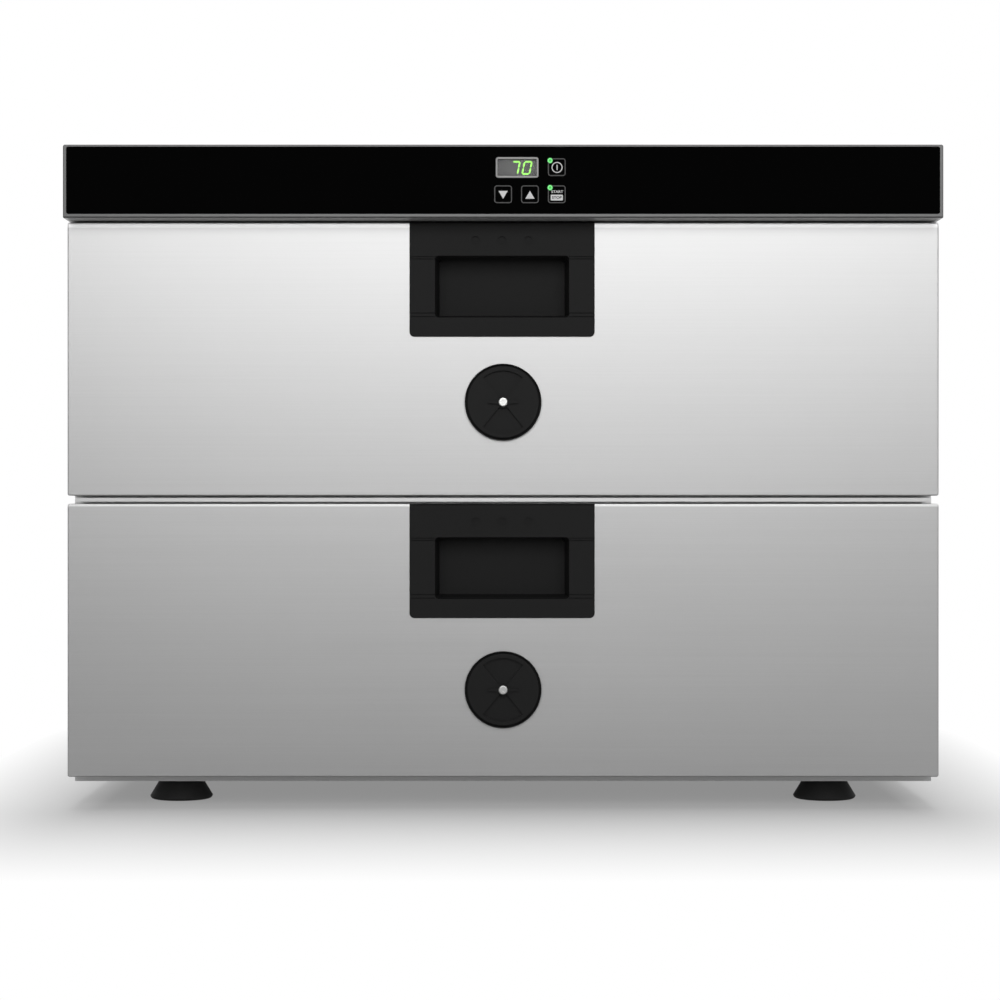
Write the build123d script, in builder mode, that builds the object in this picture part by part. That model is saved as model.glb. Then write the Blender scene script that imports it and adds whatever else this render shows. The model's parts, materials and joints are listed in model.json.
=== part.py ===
from build123d import *
import os

# A counter-standing holding cabinet with two heated drawers for standard catering pans.
# Millimetres. +Z is up, the drawers open towards -Y, and the origin is on the table under the middle.

os.makedirs("parts", exist_ok=True)

# ---------------------------------------------------------------- overall
cabinet_width = 650.0
cabinet_depth = 520.0  # face of the front frame to face of the rear cover
foot_height = 16.6
front_height = 203.8  # one drawer front
front_gap = 6.0  # between the two drawer fronts
divider_gap = 1.6  # drawer front to the strip between the two
divider_inset = (5.1, 3.5)  # strip's ends from the cabinet's sides, and its face behind the drawer fronts
front_rise = 6.8  # lower front's bottom edge above the cabinet's base
front_stand_off = 34.0  # drawer fronts stand this far ahead of the front frame
hood_height = 54.2
hood_gap = 1.2  # upper drawer front to hood
hood_overhang = 20.0  # fascia ahead of the drawer fronts
hood_lap = 20.0  # hood's underside over the deck
gland_reach = 12.0  # cable gland's nut behind the rear cover
louvre_x = 60.0  # middle of the slots in the rear cover
louvre_count = 9
louvre_pitch = 11.0
louvre_size = (4.0, 24.0)

# ---------------------------------------------------------------- sheet metal and insulation
sheet = 1.2
frame_sheet = 1.5
liner_sheet = 1.0
side_insulation = 22.8  # liner to side wall
liner_flange = 8.0  # liner's edge behind the front frame
front_corner = 1.6  # corners of a drawer front, seen from the front
front_edge = 0.9  # rounding along its face
front_overlap = 16.9  # drawer front over the chamber's mouth, above and below
rear_insulation = 30.0
service_gap = 56.0  # rear insulation to rear cover
flange = 15.0  # folded edges of shell, frame and rear
rear_screw_inset = 35.0  # outer screws of the rear cover
fit_gap = 0.3  # around boards, keys, cores and other loose fits
hole_gap = 0.2  # radial, around screws and pins in plain holes

# ---------------------------------------------------------------- drawers
rail_height = 45.0
rail_sheet = 1.5
rail_gap = 0.3  # between telescoping members
rail_reach = 10.0  # lips of the outer member
rail_space = 13.0  # liner wall to carrier wall
rail_front = 14.0  # behind the front frame's face
rail_rear = 18.0  # ahead of the chamber's back wall
carrier_sheet = 1.5
carrier_depth = 62.0  # height of the carrier's side walls
carrier_length = 372.0
carrier_front_reach = 60.0  # of the low part of its front wall, at each side
front_screw_insets = (25.0, 52.0)
front_screw_rise = 15.0
pan_length = 530.0
pan_width = 325.0
pan_depth = 150.0
pan_rim = 12.0
pan_sheet = 0.8
pan_draft = 4.0
pan_corner = 30.0
pan_rim_corner = 18.0
pan_slip = 1.0  # pan to the carrier's mouth, all round
pan_clearance = 6.0  # under the pan
pan_setback = 22.0  # pan behind the front backing plate
gasket_width = 8.0
gasket_margin = 4.0  # chamber mouth to gasket
gasket_depth = 3.8
gasket_edge = 1.5
backing_sheet = 1.0
screw_radius = 2.0
screw_head_radius = 3.8
screw_room = 1.0  # around screws in soft boards
screw_head = 2.2
screw_length = 6.0
screw_slot = (4.2, 0.8, 0.8)  # length, width and depth of the head's cross
rivet_head_rise = 0.9
rivet_dimple_radius = 1.2
rivet_dimple = 0.5

# ---------------------------------------------------------------- pocket handle
handle_width = 138.0
handle_height = 85.2
handle_x = -0.75  # handle's middle, a little off the drawer's
handle_proud = 1.8
handle_corner = 3.6
handle_edge = 0.7
pocket_width = 100.0
pocket_height = 46.1
pocket_corner = 2.6
pocket_depth = 23.0  # from the handle's face
pocket_drop = 24.9  # handle's top edge to pocket
pocket_draft = 7.0
pocket_wall = 2.2
finger_lip = 7.0  # thickness of the lip the fingers pull on
finger_room = 8.0  # pocket's height hidden behind the lip
finger_room_half = 46.0
finger_room_drop = 6.0
groove_width = 0.9
groove_depth = 1.0
groove_drops = (25.8, 27.5, 67.8, 70.5)  # below the handle's top edge
dimple_radius = 3.3
dimple_depth = 1.3
dimple_pitch = 19.7
dimple_drop = 13.7
seam_drop = 0.5  # seam just under the handle's top edge
seam_height = 1.2
seam_depth = 1.1

# ---------------------------------------------------------------- turnable vent
vent_drops = {"upper": 134.1, "lower": 138.5}  # below the top edge of the drawer front
vent_radius = 28.6
seat_proud = 1.5
seat_web = 2.0
seat_rim = 0.5  # wall round the disc
seat_trench = 1.1  # floor of the gap round the disc, below the seat's face
duct_radius = 25.0
duct_wall = 1.2
vent_disc_radius = 27.0
vent_disc_sheet = 2.0
vent_window_outer = 23.5
vent_window_inner = 4.6
vent_window_half_angle = 39.0
seat_window_half_angle = 36.0
seat_window_inset = 1.2  # smaller all round than the disc's windows
grip_rise = 1.8
grip_half_length = 11.2
grip_half_height = 4.6
grip_end = 0.9
grip_root = 1.3
rivet_radius = 2.0
rivet_head_radius = 3.4
rivet_running_gap = 0.08
rivet_tail = 1.2

# ---------------------------------------------------------------- fascia, display and keys
fascia_border_side = 2.4
fascia_border_top = 1.5
fascia_border_bottom = 2.9
fascia_thickness = 3.0
fascia_gap = 0.1  # around the fascia, the display's frame and its window
fascia_corner = 1.5
hood_nose = 1.1  # rounding under the fascia
hood_edge = 0.6
hood_corner = 1.6  # along the hood's top sides
key_size = 13.8
key_corner = 2.0
key_pitch_x = 19.8
key_pitch_z = 20.0
key_row = 17.4  # lower key row above the hood's bottom
key_proud = 0.4
key_stroke = 0.5
key_rest_gap = 0.1  # pressed key to switch
key_edge = 0.25
key_flange = 1.2  # retaining flange behind the fascia
key_flange_lip = 1.0
key_stem_radius = 2.5
light_radius = 1.75
light_gap = 0.35
light_neck = 1.25  # radius behind the fascia
light_offset = 4.95  # light's centre from its key's centre, towards a corner
bezel_width = 31.5
bezel_height = 15.2
bezel_border = 1.2
bezel_proud = 0.6
bezel_edge = 0.3
bezel_corner = 1.9
bezel_shift = (0.45, -0.2)  # display's middle from the middle of the two left keys and the top row
lens_sunk = 0.5
lens_thickness = 1.5
module_gap = 0.15  # display module to the display's frame, all round
board_distance = 15.0  # fascia's face to control board
board_sheet = 1.6
board_margin = 12.0  # control board beside the keys
board_edge = 2.0  # control board above and below the keys
board_post_inset = 4.0
window_inset = 9.0  # control board's edge to the hood's cut-out
window_edge = 4.5  # hood's top and bottom to the cut-out
chip_size = (20.0, 7.4, 12.0)
plug_size = (12.0, 5.4)
switch_size = 6.0
switch_height = 3.5
plunger_radius = 1.7
plunger_length = 1.0
post_radius = 3.0

# ---------------------------------------------------------------- electronics on the deck
power_board_size = (150.0, 90.0)
power_board_place = (-60.0, 60.0)
power_board_parts = [  # two relays and a heat sink: middle, width, depth and top above the posts
    (-46.0, -15.0, 28.0, 30.0, 18.0),
    (-46.0, 17.0, 28.0, 26.0, 18.0),
    (38.0, -29.0, 36.0, 10.0, 26.0),
]
strip_size = (100.0, 12.0, 13.0)  # connector strip on the power board's rear edge
capacitor_xs = (0.0, 30.0)
capacitor_y = 10.0
capacitor_radius = 8.0
capacitor_height = 24.0
transformer_size = (56.0, 46.0, 34.0)
transformer_place = (90.0, 60.0)
transformer_corner = 2.0
transformer_ear = 9.0
coil_reach = 5.0
coil_edge = 8.0
terminal_size = (52.0, 22.0, 20.0)
terminal_place = (-220.0, 200.0)
terminal_hole = 2.2
cutout_radius = 12.0
cutout_height = 11.0
cutout_place = (180.0, 100.0)
cutout_ears = (40.0, 12.0)
tab_size = (0.8, 6.3, 9.0)
tab_spacing = 17.0
post_height = 8.0
post_inset = 6.0  # posts from the power board's edges
gland_place = -220.0  # gland's X
gland_bore = 4.25
gland_body_radius = 10.0
gland_nut_radius = 13.0
gland_nut = 6.0
gland_edge = 2.0
lead_radius = 1.6
lead_bend = 12.0
lead_rise = 8.0  # leads above the posts
supply_reach = 30.0
supply_inset = 35.0
lead_xs = {"upper": -40.0, "lower": -20.0}  # heater leads, one behind each heater mat

# ---------------------------------------------------------------- heating and sensing
heater_sheet = 1.5
heater_margin = 24.0  # chamber floor around the heater mat
heater_tab_half = 10.0
probe_radius = 3.0
probe_length = 34.0
probe_drop = 40.0  # below the chamber's ceiling
probe_x = -150.0
probe_collar = 2.5
probe_collar_length = 3.0
probe_tail = 14.0  # behind the rear insulation

# ---------------------------------------------------------------- feet
foot_x = 248.2
foot_front_y = 34.0  # behind the front frame's face
foot_rear_y = 40.0  # ahead of the rear cover's face
foot_top_radius = 15.4
foot_base_radius = 24.0
foot_heel_radius = 21.4
foot_belly = 2.4  # height of the widest ring
foot_bulge = (23.3, 0.9)  # point between heel and belly
foot_recess_radius = 7.0
foot_recess = 9.0
foot_screw_tip = 5.0  # screw's end above the base sheet
foot_screw_head = 4.8
foot_screw_room = 2.0  # around the screw's end

# ================================================================ places worked out from the sizes
half_width = cabinet_width / 2
total_depth = bezel_proud + hood_overhang + front_stand_off + cabinet_depth + gland_reach
y_fascia = bezel_proud - total_depth / 2
y_front = y_fascia + hood_overhang
y_frame = y_front + front_stand_off
y_rear = y_frame + cabinet_depth
y_behind_frame = y_frame + frame_sheet
y_rear_inside = y_rear - sheet

z_base = foot_height
z_lower_front = z_base + front_rise
z_upper_front = z_lower_front + front_height + front_gap
z_hood = z_upper_front + front_height + hood_gap
z_top = z_hood + hood_height
front_bottoms = {"upper": z_upper_front, "lower": z_lower_front}

chamber_half = half_width - sheet - side_insulation - liner_sheet
chamber_height = front_height - 2 * front_overlap
floors = {level: bottom + front_overlap for level, bottom in front_bottoms.items()}
z_probe = floors["upper"] + chamber_height - probe_drop
y_liner_rear = y_rear_inside - service_gap - rear_insulation
y_chamber_rear = y_liner_rear - liner_sheet
front_thickness = front_stand_off - gasket_depth - hole_gap
y_panel_rear = y_front + front_thickness
carrier_half = chamber_half - rail_space
y_rail_front = y_frame + rail_front
y_rail_rear = y_chamber_rear - rail_rear
pan_flange_drop = pan_clearance + pan_depth  # chamber floor to the pan's rim
z_gland = z_hood + hood_height / 2
z_low_key = z_hood + key_row
z_high_key = z_low_key + key_pitch_z
y_leads = y_rear_inside - service_gap / 2  # where the heater leads run down
y_board = y_fascia + board_distance
y_module = y_fascia + lens_sunk + lens_thickness + hole_gap
y_hood_wall = y_fascia + fascia_thickness
y_plunger = y_board - switch_height - plunger_length
y_key_flange = y_hood_wall + hole_gap
foot_places = [
    (side * foot_x, y)
    for side in (-1, 1)
    for y in (y_frame + foot_front_y, y_rear - foot_rear_y)
]
key_places = {
    "down_key": (0.0, z_low_key),
    "up_key": (key_pitch_x, z_low_key),
    "start_stop_key": (2 * key_pitch_x, z_low_key),
    "on_off_key": (2 * key_pitch_x, z_high_key),
}
lit_keys = ("start_stop_key", "on_off_key")
light_places = [
    (key_places[name][0] - light_offset, key_places[name][1] + light_offset) for name in lit_keys
]
display_x = key_pitch_x / 2 + bezel_shift[0]
z_display = z_high_key + bezel_shift[1]
bezel_hole = (bezel_width + 2 * fascia_gap, bezel_height + 2 * fascia_gap)
display_opening = (bezel_width - 2 * bezel_border, bezel_height - 2 * bezel_border)
key_hole = key_size + 2 * fit_gap
board_x = (-key_size / 2 - board_margin, 2 * key_pitch_x + key_size / 2 + board_margin)
board_z = (z_low_key - key_size / 2 - board_edge, z_high_key + key_size / 2 + board_edge)
board_post_x = (board_x[0] + board_post_inset, board_x[1] - board_post_inset)
board_post_z = (board_z[0] + board_post_inset, board_z[1] - board_post_inset)
board_posts = [(x, z) for x in board_post_x for z in board_post_z]
window_x = (board_x[0] + window_inset, board_x[1] - window_inset)
window_z = (z_hood + window_edge, z_top - window_edge)


def block(x, y, z, mode=Mode.ADD):
    """Box between two limits on each axis."""
    with Locations(((x[0] + x[1]) / 2, (y[0] + y[1]) / 2, (z[0] + z[1]) / 2)):
        Box(x[1] - x[0], y[1] - y[0], z[1] - z[0], mode=mode)


def from_front(y):
    """Plane at depth y with its X along +X and its Y up: a negative extrusion goes towards the rear."""
    return Plane.XZ.offset(-y)


def finish(piece, label):
    """Name a piece and write it."""
    piece.part.label = label
    export_step(piece.part, f"parts/{label}.step")


def across(half):
    """Limits that reach equally to both sides."""
    return (-half, half)


with BuildPart() as pan_head_screw:  # its head stands on the XY plane, its shank hangs below
    with Locations((0, 0, screw_head / 2)):
        Cylinder(screw_head_radius, screw_head)
    fillet(pan_head_screw.edges().group_by(Axis.Z)[-1], 0.9)
    with Locations((0, 0, -screw_length / 2)):
        Cylinder(screw_radius, screw_length)
    with Locations((0, 0, screw_head)):
        Box(screw_slot[0], screw_slot[1], 2 * screw_slot[2], mode=Mode.SUBTRACT)
        Box(screw_slot[1], screw_slot[0], 2 * screw_slot[2], mode=Mode.SUBTRACT)

# ================================================================ cabinet
rear_screw_places = [
    (side * (half_width - sheet - flange / 2), z)
    for side in (-1, 1)
    for z in (z_base + rear_screw_inset, (z_base + z_hood) / 2, z_hood - rear_screw_inset)
]

with BuildPart() as cabinet_shell:
    block(across(half_width), (y_behind_frame, y_rear_inside), (z_base, z_hood))
    block(
        across(half_width - sheet),
        (y_behind_frame, y_rear_inside),
        (z_base + sheet, z_hood),
        mode=Mode.SUBTRACT,
    )
    for side in (-1, 1):
        flange_x = sorted((side * (half_width - sheet - flange), side * (half_width - sheet)))
        block(flange_x, (y_rear_inside - sheet, y_rear_inside), (z_base + sheet, z_hood - sheet))
    with BuildSketch(Plane.XY.offset(z_base)):
        with Locations(*foot_places):
            Circle(screw_radius + hole_gap)
    extrude(amount=sheet, mode=Mode.SUBTRACT)
    with BuildSketch(from_front(y_rear_inside - sheet)):
        with Locations(*rear_screw_places):
            Circle(screw_radius + hole_gap)
    extrude(amount=-sheet, mode=Mode.SUBTRACT)
finish(cabinet_shell, "cabinet_shell")

power_x, power_y = power_board_place
deck_post_x = power_board_size[0] / 2 - post_inset
deck_post_y = power_board_size[1] / 2 - post_inset
deck_posts = [
    (power_x + side * deck_post_x, power_y + end * deck_post_y)
    for side in (-1, 1)
    for end in (-1, 1)
]

with BuildPart() as deck_plate:
    block(across(half_width - sheet), (y_behind_frame, y_rear_inside), (z_hood - sheet, z_hood))
    with BuildSketch(Plane.XY.offset(z_hood)):
        with Locations(*deck_posts):
            Circle(post_radius)
    extrude(amount=post_height)
    for lead_x in lead_xs.values():
        with Locations((lead_x, y_leads, z_hood)):
            Cylinder(lead_radius + hole_gap, 4 * sheet, mode=Mode.SUBTRACT)
finish(deck_plate, "deck_plate")

with BuildPart() as front_frame:
    block(across(half_width), (y_frame, y_behind_frame), (z_base, z_hood))
    inner = half_width - sheet
    block(across(inner), (y_behind_frame, y_behind_frame + flange), (z_base + sheet, z_hood - sheet))
    block(
        across(inner - sheet),
        (y_behind_frame, y_behind_frame + flange),
        (z_base + 2 * sheet, z_hood - 2 * sheet),
        mode=Mode.SUBTRACT,
    )
    for bottom in front_bottoms.values():
        floor = bottom + front_overlap
        block(
            across(chamber_half),
            (y_frame, y_behind_frame),
            (floor, floor + chamber_height),
            mode=Mode.SUBTRACT,
        )
    block(
        across(half_width - divider_inset[0]),
        (y_front + divider_inset[1], y_frame),
        (z_upper_front - front_gap + divider_gap, z_upper_front - divider_gap),
    )
finish(front_frame, "front_frame")

with BuildPart() as control_hood:
    block(across(half_width), (y_fascia, y_rear_inside), (z_hood, z_top))
    fillet(control_hood.edges().filter_by(Axis.Y).group_by(Axis.Z)[-1], hood_corner)
    front_edges = control_hood.faces().sort_by(Axis.Y)[0].edges()
    fillet(front_edges.sort_by(Axis.Z)[0], hood_nose)
    fillet(control_hood.faces().sort_by(Axis.Y)[0].edges().sort_by(Axis.Z)[1:], hood_edge)
    block(
        across(half_width - sheet),
        (y_hood_wall + sheet, y_rear_inside),
        (z_hood + sheet, z_top - sheet),
        mode=Mode.SUBTRACT,
    )
    block(
        across(half_width - sheet),
        (y_frame + hood_lap, y_rear_inside),
        (z_hood, z_hood + sheet),
        mode=Mode.SUBTRACT,
    )
    with BuildSketch(from_front(y_fascia)):
        with Locations((0, (z_hood + fascia_border_bottom + z_top - fascia_border_top) / 2)):
            RectangleRounded(
                cabinet_width - 2 * fascia_border_side,
                hood_height - fascia_border_bottom - fascia_border_top,
                fascia_corner,
            )
    extrude(amount=-fascia_thickness, mode=Mode.SUBTRACT)
    block(window_x, (y_hood_wall, y_hood_wall + sheet), window_z, mode=Mode.SUBTRACT)
    with BuildSketch(from_front(y_hood_wall + sheet)):
        with Locations(*board_posts):
            Circle(post_radius)
    extrude(amount=-(y_board - y_hood_wall - sheet))
finish(control_hood, "control_hood")

with BuildPart() as rear_cover:
    block(across(half_width), (y_rear_inside, y_rear), (z_base, z_top))
    fillet(rear_cover.edges().filter_by(Axis.Y).group_by(Axis.Z)[-1], hood_corner)
    with BuildSketch(from_front(y_rear_inside)):
        with Locations((gland_place, z_gland)):
            Circle(gland_body_radius + hole_gap)
        with Locations(*rear_screw_places):
            Circle(screw_radius + hole_gap)
        with Locations((louvre_x, z_gland)):
            with GridLocations(louvre_pitch, 0, louvre_count, 1):
                SlotOverall(louvre_size[1], louvre_size[0], rotation=90)
    extrude(amount=-sheet, mode=Mode.SUBTRACT)
finish(rear_cover, "rear_cover")

with BuildPart() as rear_cover_screws:
    with Locations(*[Location((x, y_rear, z), (-90, 0, 0)) for x, z in rear_screw_places]):
        add(pan_head_screw.part)
finish(rear_cover_screws, "rear_cover_screws")

# ---------------------------------------------------------------- chambers, heaters and insulation

for level, floor in floors.items():
    ceiling = floor + chamber_height
    with BuildPart() as chamber:
        block(
            across(chamber_half + liner_sheet),
            (y_behind_frame, y_liner_rear),
            (floor - liner_sheet, ceiling + liner_sheet),
        )
        block(
            across(chamber_half + liner_flange),
            (y_behind_frame, y_behind_frame + liner_sheet),
            (floor - liner_flange, ceiling + liner_flange),
        )
        block(across(chamber_half), (y_behind_frame, y_chamber_rear), (floor, ceiling), mode=Mode.SUBTRACT)
        if level == "upper":
            with BuildSketch(from_front(y_chamber_rear)):
                with Locations((probe_x, z_probe)):
                    Circle(probe_radius + hole_gap)
            extrude(amount=-liner_sheet, mode=Mode.SUBTRACT)
    finish(chamber, f"{level}_chamber")

    heater_z = (floor - liner_sheet - heater_sheet, floor - liner_sheet)
    with BuildPart() as heater_mat:
        block(
            across(chamber_half - heater_margin),
            (y_behind_frame + heater_margin, y_liner_rear - heater_margin),
            heater_z,
        )
        tab_x = (lead_xs[level] - heater_tab_half, lead_xs[level] + heater_tab_half)
        block(tab_x, (y_liner_rear - heater_margin, y_liner_rear), heater_z)
    finish(heater_mat, f"{level}_heater_mat")

board_layers = [
    (z_base + sheet, floors["lower"] - liner_sheet - heater_sheet),
    (floors["lower"] + chamber_height + liner_sheet, floors["upper"] - liner_sheet - heater_sheet),
    (floors["upper"] + chamber_height + liner_sheet, z_hood - sheet),
]
insulation_front = y_behind_frame + flange + fit_gap
board_half = half_width - sheet - fit_gap
side_board_z = (z_base + sheet + fit_gap, z_hood - sheet - fit_gap)
with BuildPart() as insulation_boards:
    for low, high in board_layers:
        block(across(chamber_half), (insulation_front, y_liner_rear), (low + fit_gap, high - fit_gap))
    for side in (-1, 1):
        side_x = sorted((side * (chamber_half + liner_sheet + fit_gap), side * board_half))
        block(side_x, (insulation_front, y_liner_rear), side_board_z)
    block(across(board_half), (y_liner_rear + fit_gap, y_liner_rear + rear_insulation), side_board_z)
    with BuildSketch(from_front(y_liner_rear)):
        with Locations((probe_x, z_probe)):
            Circle(probe_radius + probe_collar + fit_gap)
        for level, lead_x in lead_xs.items():
            with Locations((lead_x, floors[level] - liner_sheet - lead_radius)):
                Circle(lead_radius + fit_gap)
    extrude(amount=-rear_insulation, mode=Mode.SUBTRACT)
    for x, y in foot_places:
        with Locations((x, y, z_base + sheet + foot_screw_tip / 2)):
            Cylinder(screw_radius + foot_screw_room, foot_screw_tip + foot_screw_room, mode=Mode.SUBTRACT)
finish(insulation_boards, "insulation_boards")

with BuildPart() as temperature_probe:
    with BuildSketch(from_front(y_chamber_rear - probe_length)):
        with Locations((probe_x, z_probe)):
            Circle(probe_radius)
    extrude(amount=-(probe_length + rear_insulation + probe_tail))
    fillet(temperature_probe.edges().sort_by(Axis.Y)[0], 1.2)
    with BuildSketch(from_front(y_liner_rear)):
        with Locations((probe_x, z_probe)):
            Circle(probe_radius + probe_collar)
    extrude(amount=-probe_collar_length)
finish(temperature_probe, "temperature_probe")

# ---------------------------------------------------------------- fascia and controls
with BuildPart() as control_fascia:
    with BuildSketch(from_front(y_fascia)):
        with Locations((0, (z_hood + fascia_border_bottom + z_top - fascia_border_top) / 2)):
            RectangleRounded(
                cabinet_width - 2 * fascia_border_side - 2 * fascia_gap,
                hood_height - fascia_border_bottom - fascia_border_top - 2 * fascia_gap,
                fascia_corner,
            )
        with Locations(*key_places.values()):
            RectangleRounded(key_hole, key_hole, key_corner, mode=Mode.SUBTRACT)
        with Locations((display_x, z_display)):
            RectangleRounded(*bezel_hole, bezel_corner, mode=Mode.SUBTRACT)
    extrude(amount=-fascia_thickness)
finish(control_fascia, "control_fascia")

with BuildPart() as display_bezel:
    with BuildSketch(from_front(y_fascia - bezel_proud)):
        with Locations((display_x, z_display)):
            RectangleRounded(bezel_width, bezel_height, bezel_corner)
            Rectangle(*display_opening, mode=Mode.SUBTRACT)
    extrude(amount=-(bezel_proud + fascia_thickness))
    fillet(display_bezel.faces().sort_by(Axis.Y)[0].outer_wire().edges(), bezel_edge)
finish(display_bezel, "display_bezel")

with BuildPart() as display_lens:
    with BuildSketch(from_front(y_fascia + lens_sunk)):
        with Locations((display_x, z_display)):
            Rectangle(display_opening[0] - fascia_gap, display_opening[1] - fascia_gap)
    extrude(amount=-lens_thickness)
finish(display_lens, "display_lens")

with BuildPart() as display_module:
    module_half_x = display_opening[0] / 2 - module_gap
    module_half_z = display_opening[1] / 2 - module_gap
    module_z = (z_display - module_half_z, z_display + module_half_z)
    block((display_x - module_half_x, display_x + module_half_x), (y_module, y_board), module_z)
finish(display_module, "display_module")

with BuildPart() as indicator_lights:
    with BuildSketch(from_front(y_fascia - key_proud)):
        with Locations(*light_places):
            Circle(light_radius)
    extrude(amount=-(key_proud + fascia_thickness))
    fillet(indicator_lights.edges().group_by(Axis.Y)[0], 0.5)
    with BuildSketch(from_front(y_hood_wall)):
        with Locations(*light_places):
            Circle(light_neck)
    extrude(amount=-(y_board - y_hood_wall))
finish(indicator_lights, "indicator_lights")

with BuildPart() as control_board:
    block(board_x, (y_board, y_board + board_sheet), board_z)
    y_back = y_board + board_sheet
    chip_x = (board_x[0] + board_margin, board_x[0] + board_margin + chip_size[0])
    block(chip_x, (y_back, y_back + chip_size[1]), (z_low_key, z_low_key + chip_size[2]))
    plug_x = (board_x[1] - board_margin - plug_size[0], board_x[1] - board_margin)
    block(plug_x, (y_back, y_back + plug_size[1]), (z_low_key, z_high_key))
finish(control_board, "control_board")

with BuildPart() as key_switches:
    for key_x, key_z in key_places.values():
        block(
            (key_x - switch_size / 2, key_x + switch_size / 2),
            (y_board - switch_height, y_board),
            (key_z - switch_size / 2, key_z + switch_size / 2),
        )
    with BuildSketch(from_front(y_plunger)):
        with Locations(*key_places.values()):
            Circle(plunger_radius)
    extrude(amount=-plunger_length)
finish(key_switches, "key_switches")

for name, (key_x, key_z) in key_places.items():
    with BuildPart() as key:
        with BuildSketch(from_front(y_fascia - key_proud)):
            with Locations((key_x, key_z)):
                RectangleRounded(key_size, key_size, key_corner)
        extrude(amount=-(y_key_flange - y_fascia + key_proud))
        fillet(key.faces().sort_by(Axis.Y)[0].edges(), key_edge)
        lip = key_size / 2 + key_flange_lip
        lip_y = (y_key_flange, y_key_flange + key_flange)
        block((key_x - lip, key_x + lip), lip_y, (key_z - lip, key_z + lip))
        with BuildSketch(from_front(y_key_flange + key_flange)):
            with Locations((key_x, key_z)):
                Circle(key_stem_radius)
        extrude(amount=-(y_plunger - key_stroke - key_rest_gap - y_key_flange - key_flange))
        if name in lit_keys:
            with BuildSketch(from_front(y_fascia - key_proud)):
                with Locations((key_x - light_offset, key_z + light_offset)):
                    Circle(light_radius + light_gap)
            extrude(amount=-board_distance, mode=Mode.SUBTRACT)
    finish(key, name)

# ---------------------------------------------------------------- electronics
z_posts = z_hood + post_height
y_power_rear = power_y + power_board_size[1] / 2
with BuildPart() as power_board:
    with Locations((power_x, power_y, z_posts + board_sheet / 2)):
        Box(*power_board_size, board_sheet)
    for x, y, width, depth, height in power_board_parts:
        with Locations((power_x + x, power_y + y, z_posts + height / 2)):
            Box(width, depth, height)
    with Locations((power_x, y_power_rear - strip_size[1] / 2, z_posts + strip_size[2] / 2)):
        Box(*strip_size)
    for x in capacitor_xs:
        with Locations((power_x + x, power_y + capacitor_y, z_posts + capacitor_height / 2)):
            Cylinder(capacitor_radius, capacitor_height)
finish(power_board, "power_board")

with BuildPart() as transformer:
    tx, ty = transformer_place
    width, depth, height = transformer_size
    with Locations((tx, ty, z_hood + height / 2)):
        Box(width, depth, height)
        fillet(transformer.edges().filter_by(Axis.Z), transformer_corner)
        Box(2 * width / 3, depth + 2 * coil_reach, height - 2 * coil_edge)
    with Locations((tx, ty, z_hood + frame_sheet / 2)):
        Box(width + 2 * transformer_ear, 2 * coil_edge, frame_sheet)
finish(transformer, "transformer")

with BuildPart() as terminal_block:
    bx, by = terminal_place
    width, depth, height = terminal_size
    with Locations((bx, by, z_hood + height / 2)):
        Box(width, depth, height)
    with BuildSketch(Plane.XY.offset(z_hood + height)):
        with Locations((bx, by)):
            with GridLocations(width / 4, depth / 2, 4, 2):
                Circle(terminal_hole)
    extrude(amount=-2 * terminal_hole, mode=Mode.SUBTRACT)
finish(terminal_block, "terminal_block")

with BuildPart() as safety_thermostat:
    cx, cy = cutout_place
    with Locations((cx, cy, z_hood + cutout_height / 2)):
        Cylinder(cutout_radius, cutout_height)
    with Locations((cx, cy, z_hood + sheet / 2)):
        Box(*cutout_ears, sheet)
    for side in (-1, 1):
        with Locations((cx + side * tab_spacing / 2, cy, z_hood + cutout_height + tab_size[2] / 2)):
            Box(*tab_size)
finish(safety_thermostat, "safety_thermostat")

with BuildPart() as cable_gland:
    with BuildSketch(from_front(y_rear_inside - gland_nut)):
        with Locations((gland_place, z_gland)):
            RegularPolygon(gland_nut_radius, 6)
    extrude(amount=-gland_nut)
    with BuildSketch(from_front(y_rear_inside)):
        with Locations((gland_place, z_gland)):
            Circle(gland_body_radius)
    extrude(amount=-sheet)
    with BuildSketch(from_front(y_rear)):
        with Locations((gland_place, z_gland)):
            RegularPolygon(gland_nut_radius, 6)
    extrude(amount=-gland_nut)
    with BuildSketch(from_front(y_rear + gland_nut)):
        with Locations((gland_place, z_gland)):
            Circle(gland_body_radius)
    extrude(amount=-(gland_reach - gland_nut))
    fillet(cable_gland.edges().group_by(Axis.Y)[-1], gland_edge)
    with BuildSketch(from_front(y_rear_inside - gland_nut)):
        with Locations((gland_place, z_gland)):
            Circle(gland_bore)
    extrude(amount=-(gland_nut + sheet + gland_reach), mode=Mode.SUBTRACT)
finish(cable_gland, "cable_gland")

x_supply = terminal_place[0] + terminal_size[0] / 4
y_supply = y_power_rear + supply_reach
z_lead_out = z_posts + lead_rise
z_supply = z_hood + terminal_size[2] / 2
with BuildPart() as wiring_loom:
    for level, lead_x in lead_xs.items():
        z_mat = floors[level] - liner_sheet - lead_radius
        with BuildLine() as heater_lead:
            FilletPolyline(
                (lead_x, y_power_rear, z_lead_out),
                (lead_x, y_leads, z_lead_out),
                (lead_x, y_leads, z_mat),
                (lead_x, y_liner_rear, z_mat),
                radius=lead_bend,
            )
        with BuildSketch(Plane(heater_lead.line @ 0, z_dir=heater_lead.line % 0)):
            Circle(lead_radius)
        sweep(path=heater_lead.line)
    with BuildLine() as supply_lead:
        FilletPolyline(
            (x_supply, terminal_place[1] - terminal_size[1] / 2, z_supply),
            (x_supply, y_supply, z_supply),
            (power_x - supply_inset, y_supply, z_lead_out),
            (power_x - supply_inset, y_power_rear, z_lead_out),
            radius=lead_bend,
        )
    with BuildSketch(Plane(supply_lead.line @ 0, z_dir=supply_lead.line % 0)):
        Circle(lead_radius)
    sweep(path=supply_lead.line)
finish(wiring_loom, "wiring_loom")

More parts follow.
